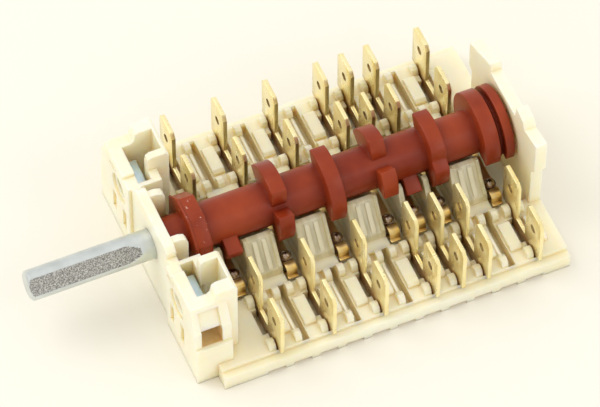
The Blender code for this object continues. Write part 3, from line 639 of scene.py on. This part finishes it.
@dataclass(frozen=True)
class Finishes:
    """Every finish of the switch, made once."""

    cream: Material
    rib_shade: Material
    glint: Material
    red_brown: Material
    brass: Material
    hole: Material
    edge_reflection: Material
    leaf: Material
    silver: Material
    spindle: Material
    milled: Material
    nut: Material
    spring: Material

    @staticmethod
    def make() -> "Finishes":
        """Return the finishes.

        Returns:
            One material for each field.
        """
        rolled = (200.0, 240.0, 60.0)
        kinds = dict(
            # painted shade: tan (0.82, 0.66, 0.30) darkens the cream's recesses
            cream=MouldedPlastic(
                "cream_moulding", (0.95, 0.90, 0.74), (0.92, 0.84, 0.62), (0.82, 0.66, 0.30), roughness=0.34,
                grain=0.10, edge_radius=0.00022, subsurface=0.75,
                patches=(GREY_SADDLE_SHADE, AMBER_WINDOW_SHADE)),
            # painted shade: the ribs take a darker, greyer copy of the cream, like the saddles in the
            # camshaft's shade
            rib_shade=MouldedPlastic(
                "rib_moulding_painted_shade", (0.80, 0.77, 0.62), (0.72, 0.68, 0.50), (0.60, 0.50, 0.28), roughness=0.32,
                grain=0.10),
            # painted highlight: the beads' whiter cream stands for the bright glint along each empty slot
            glint=MouldedPlastic(
                "glossy_moulding", (0.97, 0.96, 0.88), (0.95, 0.92, 0.80), (0.88, 0.78, 0.48), roughness=0.16,
                grain=0.04),
            # painted shade: near-black red darkens the camshaft's corners
            red_brown=MouldedPlastic(
                "red_brown_moulding", (0.34, 0.048, 0.011), (0.21, 0.021, 0.005), (0.12, 0.009, 0.003),
                roughness=0.34, grain=0.16, edge_radius=0.00018, gloss=0.28, patches=(WORN_SPECKS,)),
            # painted shade: strong brown darkens the brass low down in the deck pockets
            brass=WorkedMetal(
                "rolled_brass", (0.98, 0.88, 0.51), (0.93, 0.79, 0.37), 0.27, rolled, 0.02, metallic=0.72,
                painted_shade=(0.42, 0.20, 0.05), painted_shade_share=0.90, painted_shade_reach=0.003),
            # painted shade: darker brass for the walls of the locking holes
            hole=WorkedMetal(
                "shaded_brass", (0.42, 0.30, 0.12), (0.25, 0.16, 0.06), 0.5, (400.0, 5000.0, 260.0), 0.10),
            # painted reflection: darker brass on the tab edges that face the camshaft, standing for the dark
            # camshaft mirrored in them
            edge_reflection=WorkedMetal(
                "brass_edge_painted_reflection", (0.56, 0.47, 0.25), (0.42, 0.34, 0.15), 0.35, rolled, 0.04),
            # painted shade: brown darkens the leaves where they sit close to other parts
            leaf=WorkedMetal(
                "leaf_bronze", (0.86, 0.67, 0.31), (0.66, 0.46, 0.17), 0.36, (5000.0, 300.0, 300.0), 0.15,
                painted_shade=(0.34, 0.17, 0.05), painted_shade_share=0.7),
            silver=WorkedMetal(
                "contact_silver", (0.42, 0.33, 0.25), (0.16, 0.10, 0.07), 0.22, (2500.0, 2500.0, 2500.0),
                0.10),
            spindle=WorkedMetal(
                "zinc_plate", (0.69, 0.73, 0.73), (0.58, 0.62, 0.62), 0.34, (1800.0, 300.0, 300.0), 0.05),
            milled=MilledMetal(
                "milled_flat", (0.66, 0.66, 0.63), (0.37, 0.365, 0.345), (0.18, 0.175, 0.16), 4200.0, 0.50),
            nut=WorkedMetal(
                "nut_zinc_plate", (0.60, 0.73, 0.82), (0.50, 0.63, 0.73), 0.42, (900.0, 900.0, 900.0), 0.20),
            spring=WorkedMetal(
                "spring_steel", (0.60, 0.60, 0.60), (0.42, 0.42, 0.43), 0.28, (4000.0, 300.0, 300.0), 0.20),
        )
        return Finishes(**{key: kind.make() for key, kind in kinds.items()})


@dataclass
class TerminalRow:
    """One row of forked tab terminals."""

    side: Side
    thickness: float = 0.8
    tab_width: float = 6.3
    tab_top: float = 15.4
    tab_chamfer: float = 0.88
    chamfer_rise: float = 1.3
    outer_y: float = 23.45
    inner_y: float = 13.3
    crotch_z: float = 5.1
    ledge_z: float = 4.5
    foot_z: float = 1.5
    foot_inner_y: float = 12.5
    foot_outer_y: float = 25.1
    hole_radius: float = 0.9
    hole_below: float = 4.4
    hole_sides: int = 20
    hole_margin: float = 0.02
    edge_round: float = 0.07
    facing: float = 0.8

    def in_hole(self, place: Vector) -> bool:
        """Return whether a place lies inside or on the rim of a locking hole.

        Args:
            place: a point in millimetres.

        Returns:
            True for a point of a hole's wall or rim.
        """
        down = place.z - self.tab_top + self.hole_below
        return any(math.hypot(abs(place.y) - centre, down) < self.hole_radius + self.hole_margin
                   for centre in (self.outer_y, self.inner_y))

    def tab(self, centre: float, outer_low: float, inner_low: float) -> list:
        """Return one tab's outline from its outer foot to its inner foot.

        Args:
            centre: Y of the tab's middle.
            outer_low: height of the outer foot.
            inner_low: height of the inner foot.

        Returns:
            (y, z) points, outwards positive.
        """
        half = self.tab_width / 2
        cut = self.tab_chamfer
        shoulder = self.tab_top - cut * self.chamfer_rise
        return [
            (centre + half, outer_low), (centre + half, shoulder),
            (centre + half - cut, self.tab_top), (centre - half + cut, self.tab_top),
            (centre - half, shoulder), (centre - half, inner_low),
        ]

    def outline(self) -> list:
        """Return the whole fork's outline.

        Returns:
            (y, z) points, outwards positive.
        """
        return [
            (self.foot_inner_y, self.foot_z), (self.foot_outer_y, self.foot_z),
            (self.foot_outer_y, self.ledge_z),
            *self.tab(self.outer_y, self.ledge_z, self.crotch_z),
            *self.tab(self.inner_y, self.crotch_z, self.ledge_z),
            (self.foot_inner_y, self.ledge_z),
        ]

    def build(self, step: int) -> BMesh:
        """Return the mesh of one terminal.

        Args:
            step: the station's number.

        Returns:
            A new mesh in millimetres.
        """
        sign = self.side.value
        x = LAYOUT.slot(step, self.side) - self.thickness / 2
        holes = [(sign * centre, self.tab_top - self.hole_below) for centre in (self.outer_y, self.inner_y)]
        bm = holed_plate(x, [(sign * y, z) for y, z in self.outline()], holes, self.hole_radius,
                         self.hole_sides, self.thickness)
        rims = {e for e in bm.edges if all(self.in_hole(v.co) for v in e.verts)}
        rounded_edges(bm, self.edge_round, segments=2, sharper_than=60.0, left_sharp=rims)
        self.mark(bm)
        return bm

    def mark(self, bm: BMesh) -> None:
        """Give the walls of the holes their painted shade, and the edges that face the camshaft a painted
        reflection of the dark camshaft.

        Args:
            bm: the terminal's mesh.
        """
        bm.normal_update()
        for face in bm.faces:
            # painted shade on the walls of the locking holes
            if abs(face.normal.x) < WALL_LIMIT and self.in_hole(face.calc_center_median()):
                face.material_index = PlateSlot.HOLE.value
            # painted reflection of the dark camshaft on the edges that face it
            elif face.normal.y * self.side.value < -self.facing:
                face.material_index = PlateSlot.EDGE_REFLECTION.value

    def dress(self, finishes: Finishes) -> None:
        """Build and finish every terminal of the row.

        Args:
            finishes: the switch's materials.
        """
        plate = [finishes.brass, finishes.hole, finishes.edge_reflection]
        for step in STATIONS:
            node = f"terminal_{self.side.label}_{step:02d}"
            finished_piece(self.build(step), f"{node}_plate", Body.FRAME, plate, (node,))


@dataclass
class Spindle:
    """The spindle with its milled flat."""

    radius: float = 3.0
    reach: float = 24.9
    grip: float = 14.15
    flat_offset: float = 2.4
    flat_turn_deg: float = 50.0
    flat_end: float = -2.2
    run_out: float = 3.0
    run_rings: int = 6
    least_cut: float = 1e-6
    tip_chamfer: float = 0.5
    tip_shoulder: float = 0.2
    rings: tuple = (6.0, 14.0)
    sides: int = 128

    def flat_height(self, x: float) -> float:
        """Return how far the flat stands from the axis.

        Args:
            x: the place behind the front plate.

        Returns:
            The flat's offset, or a height over the rod where there is none.
        """
        share = (x - self.flat_end + self.run_out) / self.run_out
        if share >= 1.0:
            return 2 * self.radius
        return self.flat_offset + max(0.0, share) * (self.radius - self.flat_offset)

    def profile(self) -> list:
        """Return the round rod's outline.

        Returns:
            (x, radius) points from the tip to the end of the grip.
        """
        tip = -self.reach
        rim = self.radius
        run = [self.flat_end - self.run_out * (1.0 - i / self.run_rings) for i in range(self.run_rings + 1)]
        return [
            (tip, 0.0), (tip, rim - self.tip_chamfer), (tip + self.tip_chamfer / 2, rim - self.tip_shoulder),
            (tip + self.tip_chamfer, rim), *((tip + ring, rim) for ring in self.rings),
            *((x, rim) for x in run), (0.0, rim), (self.grip, rim), (self.grip, 0.0),
        ]

    def build(self) -> BMesh:
        """Return the spindle's mesh.

        Returns:
            A new mesh in millimetres.
        """
        bm = turned(self.profile(), self.sides)
        turn = math.radians(self.flat_turn_deg)
        across = Vector((0.0, -math.sin(turn), math.cos(turn)))
        centre = Vector((0.0, 0.0, LAYOUT.axis_z))
        lowered = set()
        for vert in bm.verts:
            above = (vert.co - centre).dot(across) - self.flat_height(vert.co.x)
            if above > self.least_cut:
                vert.co -= across * above
                lowered.add(vert)
        bm.normal_update()
        for face in bm.faces:
            if all(vert in lowered for vert in face.verts) and abs(face.normal.x) < WALL_LIMIT:
                face.material_index = RodSlot.FLAT.value
        return bm

    def dress(self, finishes: Finishes) -> None:
        """Build and finish the spindle."""
        finished_piece(self.build(), "spindle_rod", Body.SHAFT,
                       [finishes.spindle, finishes.milled], ("spindle",), smooth_deg=18.0)


@dataclass(frozen=True)
class Lobe:
    """One lobe of a cam, in degrees from the top towards -Y."""

    start: float
    end: float
    before: float
    after: float

    def share(self, turn: float) -> float:
        """Return how much of the lobe stands at a direction.

        Args:
            turn: the direction, in degrees from the top towards -Y.

        Returns:
            1 on the lobe, 0 well off it and a slope on its flanks.
        """
        ahead = (turn - self.start) % 360.0
        length = self.end - self.start
        if ahead <= length:
            return 1.0
        return max(0.0, 1.0 - (ahead - length) / self.after, 1.0 - (360.0 - ahead) / self.before)

    def corners(self) -> list:
        """Return the directions where the outline turns."""
        turns = (self.start - self.before, self.start, self.end, self.end + self.after)
        return [turn % 360.0 for turn in turns]


@dataclass
class Camshaft:
    """The red-brown camshaft with its cams, detent disc and rear discs."""

    cam_radius: float = 7.7
    valley_radius: float = 4.189
    tube_radius: float = 4.39
    stub_radius: float = 4.0
    bore_radius: float = 3.3
    bore_past: float = 0.3
    front: float = 2.3
    rim_soft: float = 0.25
    cam_thickness: float = 3.07
    outline_step: int = 3
    corner_room: float = 1.4
    detent_radius: float = 7.24
    detent_rim: float = 0.25
    detent_span: tuple = (6.6, 10.0)
    detent_start: float = 0.2
    flange: tuple = (-0.2, 0.4)
    detent_sides: int = 8
    groove_radius: float = 6.47
    groove_depth: float = 0.25
    groove_past: float = 0.3
    groove_ribs: int = 3
    rib_line: tuple = ((-0.09, 0.25), (-0.04, 0.0), (0.04, 0.0), (0.09, 0.25))
    rear_span: tuple = (68.69, 69.79, 71.59)
    journal_radius: float = 2.4
    length: float = 74.587
    edge_round: float = 0.28
    sides: int = 96
    lobes: dict = field(default_factory=lambda: {
        0: (Lobe(100, 190, 6, 14),),
        2: (Lobe(-62, 25, 8, 25), Lobe(62, 124, 3, 8)),
        4: (Lobe(-28, 110, 6, 8),),
        6: (Lobe(-72, 0, 8, 25), Lobe(48, 95, 3, 4)),
        7: (Lobe(115, 190, 6, 14),),
        8: (Lobe(-30, 45, 6, 50), Lobe(80, 135, 50, 8)),
        10: (Lobe(-125, 105, 8, 4),),
    })

    def outline(self, step: int) -> list:
        """Return a cam's (y, z) outline.

        Args:
            step: the station's number.

        Returns:
            Points round the axis, with one at every corner of the lobes.
        """
        corners = [turn for lobe in self.lobes[step] for turn in lobe.corners()]
        turns = [float(turn) for turn in range(0, 360, self.outline_step)]
        turns = [turn for turn in turns if min(abs(turn - corner) for corner in corners) > self.corner_room]
        points = []
        for turn in sorted(turns + corners):
            share = max(lobe.share(turn) for lobe in self.lobes[step])
            radius = self.valley_radius + (self.cam_radius - self.valley_radius) * share
            angle = math.radians(turn)
            points.append((-radius * math.sin(angle), LAYOUT.axis_z + radius * math.cos(angle)))
        return points

    def add_disc(self, bm: BMesh, points: list, start: float, end: float) -> None:
        """Add a flat disc of a given outline with rounded edges.

        Args:
            bm: the camshaft's mesh.
            points: the (y, z) outline.
            start: front face.
            end: rear face.
        """
        disc = bmesh.new()
        add_block(disc, start, points, end - start)
        rounded_edges(disc, self.edge_round, segments=3, sharper_than=28.0)
        mesh = bpy.data.meshes.new("disc")
        disc.to_mesh(mesh)
        disc.free()
        bm.from_mesh(mesh)
        bpy.data.meshes.remove(mesh)

    def polygon(self, radius: float) -> list:
        """Return a many-sided outline with a flat at the bottom."""
        turns = [math.tau * (i + 0.5) / self.detent_sides for i in range(self.detent_sides)]
        return [(radius * math.cos(turn), LAYOUT.axis_z + radius * math.sin(turn)) for turn in turns]

    def core_profile(self) -> list:
        """Return the outline of the turned body.

        Returns:
            (x, radius) points, from the bore's end round the front to the journal.
        """
        bore_end = LAYOUT.station_start + self.bore_past
        step = self.detent_span[0] + self.flange[1]
        groove, disc, end = self.rear_span
        floor = self.groove_radius - self.groove_depth
        middles = [groove + (disc - groove) * (i + 0.5) / self.groove_ribs for i in range(self.groove_ribs)]
        ribs = [(x + along, self.groove_radius - down) for x in middles for along, down in self.rib_line]
        return [
            (bore_end, 0.0), (bore_end, self.bore_radius), (self.front, self.bore_radius),
            (self.front, self.stub_radius - self.rim_soft), (self.front + self.rim_soft, self.stub_radius),
            (step, self.stub_radius), (step, self.tube_radius),
            (groove - self.groove_past, self.tube_radius), (groove - self.groove_past, floor), *ribs,
            (disc + self.groove_past, floor), (disc + self.groove_past, self.journal_radius),
            (end, self.journal_radius), (self.length - self.rim_soft, self.journal_radius),
            (self.length, self.journal_radius - self.rim_soft), (self.length, 0.0),
        ]

    def build(self) -> BMesh:
        """Return the camshaft's mesh.

        Returns:
            A new mesh in millimetres.
        """
        bm = turned(self.core_profile(), self.sides)
        half = self.cam_thickness / 2
        for step in STATIONS:
            middle = LAYOUT.station(step)
            self.add_disc(bm, self.outline(step), middle - half, middle + half)
        self.add_disc(bm, self.outline(STATIONS[-1]), self.rear_span[1], self.rear_span[2])
        start, end = self.detent_span
        self.add_disc(bm, self.polygon(self.detent_radius), start + self.detent_start, end)
        self.add_disc(bm, self.polygon(self.detent_radius + self.detent_rim), start + self.flange[0],
                      start + self.flange[1])
        return bm

    def dress(self, finishes: Finishes) -> None:
        """Build and finish the camshaft."""
        finished_piece(self.build(), "camshaft_moulding", Body.SHAFT,
                       [finishes.red_brown], ("camshaft",), smooth_deg=32.0)


@dataclass
class ContactPairs:
    """Moving contact rivets and the bent leaves that carry them."""

    radius: float = 1.219
    shift: float = 0.689
    centre_y: float = -7.7
    seat: float = 5.5
    leaf_thickness: float = 0.3
    leaf_width: float = 2.12
    leaf_round: float = 0.06
    gap: float = 0.3
    foot: float = 0.4
    foot_taper: float = 0.7
    foot_round: float = 0.6
    head: float = 1.1
    head_rim: float = 0.3
    lip: float = 0.02
    lip_share: float = 0.86
    dome_share: float = 0.84
    dome_steps: int = 6
    shank: float = 0.45
    sides: int = 40
    trough: float = 12.2
    root_length: float = 0.8
    hump: float = 0.9
    hump_foot: float = 0.35
    hump_steps: int = 8
    nose: float = 6.0
    nose_line: tuple = ((-2.6, 0.3), (-1.4, 0.0), (-0.4, 0.0), (0.6, 0.5))

    def rivet_profile(self) -> list:
        """Return the rivet's outline.

        Returns:
            (z, radius) points from its foot to the top of its domed head.
        """
        under = self.seat - self.gap
        over = self.seat + self.leaf_thickness + self.gap
        rim = over + self.head_rim * self.head
        points = [
            (under - self.foot, 0.0), (under - self.foot, self.radius * self.foot_taper),
            (under - self.foot * self.foot_round, self.radius), (under, self.radius), (under, self.shank),
            (over, self.shank), (over, self.radius), (rim, self.radius),
            (rim + self.lip, self.radius * self.lip_share),
        ]
        dome = over + self.head - rim
        for i in range(1, self.dome_steps + 1):
            turn = math.pi / 2 * i / self.dome_steps
            points.append((rim + dome * math.sin(turn), self.radius * self.dome_share * math.cos(turn)))
        return points

    def rivet(self, x: float) -> BMesh:
        """Return one rivet's mesh, given the middle of its contact pair."""
        places = [(x + radius, self.centre_y, z) for z, radius in self.rivet_profile()]
        return spun(places, (x, self.centre_y, 0.0), (0.0, 0.0, 1.0), self.sides)

    def leaf_line(self) -> list:
        """Return the leaf's middle line.

        Returns:
            (y, z) points from its root to its tip.
        """
        half = self.leaf_thickness / 2
        root = LAYOUT.deck_top + self.gap + half
        seat = self.seat + half
        start = self.gap - self.trough
        bend = start + self.root_length
        flat = self.centre_y - self.radius
        middle = (bend + flat) / 2
        reach = (flat - bend) / 2
        line = [(start, root), (bend, root)]
        for i in range(1, self.hump_steps):
            turn = math.pi * (1.0 - i / self.hump_steps)
            rise = self.hump_foot + (1.0 - self.hump_foot) * math.sin(turn)
            line.append((middle + reach * math.cos(turn), seat + self.hump * rise))
        line += [(flat, seat), (self.centre_y + self.radius, seat)]
        return line + [(y, self.nose - half - down) for y, down in self.nose_line]

    def leaf(self, x: float) -> BMesh:
        """Return one leaf's mesh with rounded edges.

        Args:
            x: the middle of the contact pair.

        Returns:
            A new mesh in millimetres.
        """
        line = [Vector(point) for point in self.leaf_line()]
        upper = []
        lower = []
        for i, point in enumerate(line):
            along = (line[min(len(line) - 1, i + 1)] - line[max(0, i - 1)]).normalized()
            across = Vector((-along.y, along.x)) * (self.leaf_thickness / 2)
            upper.append(point + across)
            lower.append(point - across)
        bm = bmesh.new()
        add_block(bm, x - self.leaf_width / 2, upper + lower[::-1], self.leaf_width)
        rounded_edges(bm, self.leaf_round, segments=2, sharper_than=70.0)
        return bm

    def dress(self, finishes: Finishes) -> None:
        """Build and finish every pair.

        Args:
            finishes: the switch's materials.
        """
        for step in STATIONS:
            x = LAYOUT.station(step) - self.shift
            rivet = f"moving_contact_{step:02d}"
            leaf = f"contact_leaf_{step:02d}"
            finished_piece(self.rivet(x), f"{rivet}_rivet", Body.FRAME, [finishes.silver],
                           (rivet,), smooth_deg=50.0)
            finished_piece(self.leaf(x), f"{leaf}_strip", Body.FRAME, [finishes.leaf],
                           (leaf,), smooth_deg=50.0)


@dataclass
class SaddleRibs:
    """Fine ribs that run down both slopes of the wide saddle walls."""

    foot: tuple = (9.9, 6.3)
    crest: tuple = (5.59, 11.8)
    bulge: float = 1.25
    chamber_half_width: float = 2.12
    least_length: float = 5.0
    width: float = 1.0
    rise: float = 0.5
    sink: float = 0.25
    edge_round: float = 0.2
    places: tuple = (0.35, 0.65)
    steps: int = 8

    def slope(self, rise: float) -> list:
        """Return the line of the slope, lifted by a rise.

        Args:
            rise: height over the saddle.

        Returns:
            (y, z) points from the foot to the crest.
        """
        points = []
        for share in (i / self.steps for i in range(self.steps + 1)):
            y = self.foot[0] + (self.crest[0] - self.foot[0]) * share
            points.append((y, self.foot[1] + (self.crest[1] - self.foot[1]) * share ** self.bulge + rise))
        return points

    def build(self) -> BMesh:
        """Return the mesh of all the ribs.

        Returns:
            A new mesh in millimetres.
        """
        bm = bmesh.new()
        section = self.slope(self.rise)[1:-1] + self.slope(-self.sink)[::-1]
        for step, following in zip(STATIONS, STATIONS[1:]):
            start = LAYOUT.station(step) + self.chamber_half_width
            length = LAYOUT.station(following) - self.chamber_half_width - start
            if length < self.least_length:
                continue
            for side in Side:
                for place in self.places:
                    x = start + length * place - self.width / 2
                    add_block(bm, x, [(side.value * y, z) for y, z in section], self.width)
        rounded_edges(bm, self.edge_round, segments=3, sharper_than=50.0)
        return bm

    def dress(self, finishes: Finishes) -> None:
        """Build and finish the ribs."""
        finished_piece(self.build(), "saddle_ribs", Body.FRAME, [finishes.rib_shade])


@dataclass
class DeckGlintBeads:
    """Low glossy beads on both decks, each along an empty terminal slot, standing for the bright glint there;
    their whiter cream is a painted highlight.
    """

    middle_y: float = 19.4
    half_length: float = 3.9
    half_width: float = 0.42
    before_slot: float = 1.22
    sides: int = 20
    rings: int = 12

    def build(self) -> BMesh:
        """Return the mesh of all the beads.

        Returns:
            A new mesh in millimetres.
        """
        bm = bmesh.new()
        shape = Matrix.Diagonal((self.half_width, self.half_length, self.half_width, 1.0))
        for side in Side:
            for step in EMPTY_STATIONS:
                x = LAYOUT.slot(step, side) - self.before_slot
                place = Matrix.Translation((x, side.value * self.middle_y, LAYOUT.deck_top))
                bmesh.ops.create_uvsphere(bm, u_segments=self.sides, v_segments=self.rings, radius=1.0,
                                          matrix=place @ shape)
        return bm

    def dress(self, finishes: Finishes) -> None:
        """Build and finish the beads."""
        finished_piece(self.build(), "deck_glint_beads", Body.FRAME, [finishes.glint])


@dataclass
class SquareNut:
    """A square nut in the slot of an ear."""

    side: Side
    half: float = 3.1
    start: float = 2.1
    thickness: float = 2.0
    centre_y: float = 14.3
    centre_z: float = 13.5
    hole_radius: float = 1.7
    hole_sides: int = 32
    edge_round: float = 0.22

    def build(self) -> BMesh:
        """Return the nut's mesh.

        Returns:
            A new mesh in millimetres.
        """
        middle = self.side.value * self.centre_y
        square = ((-1, -1), (1, -1), (1, 1), (-1, 1))
        corners = [(middle + self.half * a, self.centre_z + self.half * b) for a, b in square]
        bm = holed_plate(self.start, corners, [(middle, self.centre_z)], self.hole_radius, self.hole_sides,
                         self.thickness)
        rounded_edges(bm, self.edge_round, segments=3, sharper_than=60.0)
        return bm

    def dress(self, finishes: Finishes) -> None:
        """Build and finish the nut."""
        node = f"square_nut_{self.side.label}"
        finished_piece(self.build(), f"{node}_body", Body.FRAME, [finishes.nut], (node,))


@dataclass(frozen=True)
class Lamp:
    """One soft square lamp, in metres and watts."""

    name: str
    place: tuple
    size: float
    power: float
    colour: tuple
    aim: tuple = (0.0, 0.0, 0.01)

    def hang(self) -> None:
        """Put the lamp in the scene, turned to its aim."""
        light = bpy.data.lights.new(self.name, "AREA")
        light.size = self.size
        light.energy = self.power
        light.color = self.colour
        obj = bpy.data.objects.new(self.name, light)
        obj.location = self.place
        obj.rotation_euler = (Vector(self.aim) - Vector(self.place)).to_track_quat("-Z", "Y").to_euler()
        bpy.context.scene.collection.objects.link(obj)


@dataclass
class Studio:
    """Floor, lamps, world and camera."""

    floor_half: float = 3.0
    floor_tones: tuple = ((0.858, 0.834, 0.752), (0.878, 0.855, 0.782))
    floor_scale: float = 6.0
    floor_roughness: float = 0.75
    world_colour: tuple = (1.0, 0.985, 0.95)
    world_strength: float = 0.92
    lamps: tuple = (
        Lamp("key_panel", (-0.5, 0.32, 0.85), size=0.7, power=3.4, colour=(1.0, 0.99, 0.96)),
        Lamp("fill_panel", (0.6, -0.7, 0.7), size=0.6, power=1.6, colour=(1.0, 0.98, 0.95)),
    )
    azimuth_deg: float = -23.3
    elevation_deg: float = 54.7
    distance: float = 0.9
    aim_mm: tuple = (5.5765, 0.0, 9.87)
    sensor_mm: float = 36.0
    photo_px: int = 600
    px_per_mm: float = 5.28
    clip: tuple = (0.01, 20.0)

    def floor(self) -> None:
        """Lay the pale floor."""
        bm = bmesh.new()
        bmesh.ops.create_grid(bm, x_segments=1, y_segments=1, size=self.floor_half)
        mesh = bpy.data.meshes.new("floor")
        bm.to_mesh(mesh)
        bm.free()
        obj = bpy.data.objects.new("floor", mesh)
        bpy.context.scene.collection.objects.link(obj)
        nodes = Nodes("pale_floor")
        pattern = nodes.noise(self.floor_scale, detail=2.0)
        tone = nodes.ramp(pattern, list(zip(Nodes.NOISE_MIDDLE, self.floor_tones)))
        mesh.materials.append(nodes.shade(Base_Color=tone, Roughness=self.floor_roughness))

    def world(self) -> None:
        """Fill the room with soft even light."""
        world = bpy.data.worlds.new("room")
        world.use_nodes = True
        background = world.node_tree.nodes["Background"]
        background.inputs["Color"].default_value = (*self.world_colour, 1.0)
        background.inputs["Strength"].default_value = self.world_strength
        bpy.context.scene.world = world

    def camera(self) -> None:
        """Set the camera at the photograph's angle, far off with a long lens."""
        azimuth = math.radians(self.azimuth_deg)
        elevation = math.radians(self.elevation_deg)
        back = Vector((math.sin(azimuth) * math.cos(elevation), -math.cos(azimuth) * math.cos(elevation),
                       math.sin(elevation)))
        data = bpy.data.cameras.new("camera")
        data.sensor_width = self.sensor_mm
        data.lens = self.sensor_mm * self.distance / (self.photo_px / self.px_per_mm * MM)
        data.clip_start, data.clip_end = self.clip
        obj = bpy.data.objects.new("camera", data)
        obj.location = Vector([number * MM for number in self.aim_mm]) + back * self.distance
        obj.rotation_euler = (-back).to_track_quat("-Z", "Y").to_euler()
        bpy.context.scene.collection.objects.link(obj)
        bpy.context.scene.camera = obj

    def build(self) -> None:
        """Set up the whole studio."""
        self.floor()
        for lamp in self.lamps:
            lamp.hang()
        self.world()
        self.camera()
        LOG.info("studio")


def main() -> None:
    """Build, dress and light the switch in order."""
    logging.basicConfig(level=logging.INFO)
    bpy.context.scene.view_settings.view_transform = "Standard"
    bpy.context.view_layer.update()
    finishes = Finishes.make()
    Studio().build()
    dress_node("frame", finishes.cream)
    SaddleRibs().dress(finishes)
    DeckGlintBeads().dress(finishes)
    dress_node("detent_spring", finishes.spring)
    for side in Side:
        SquareNut(side).dress(finishes)
        TerminalRow(side).dress(finishes)
    ContactPairs().dress(finishes)
    for step in STATIONS:
        dress_node(f"contact_strip_{step:02d}", finishes.leaf)
        dress_node(f"fixed_contact_{step:02d}", finishes.silver)
    Camshaft().dress(finishes)
    Spindle().dress(finishes)


if __name__ == "__main__":
    main()
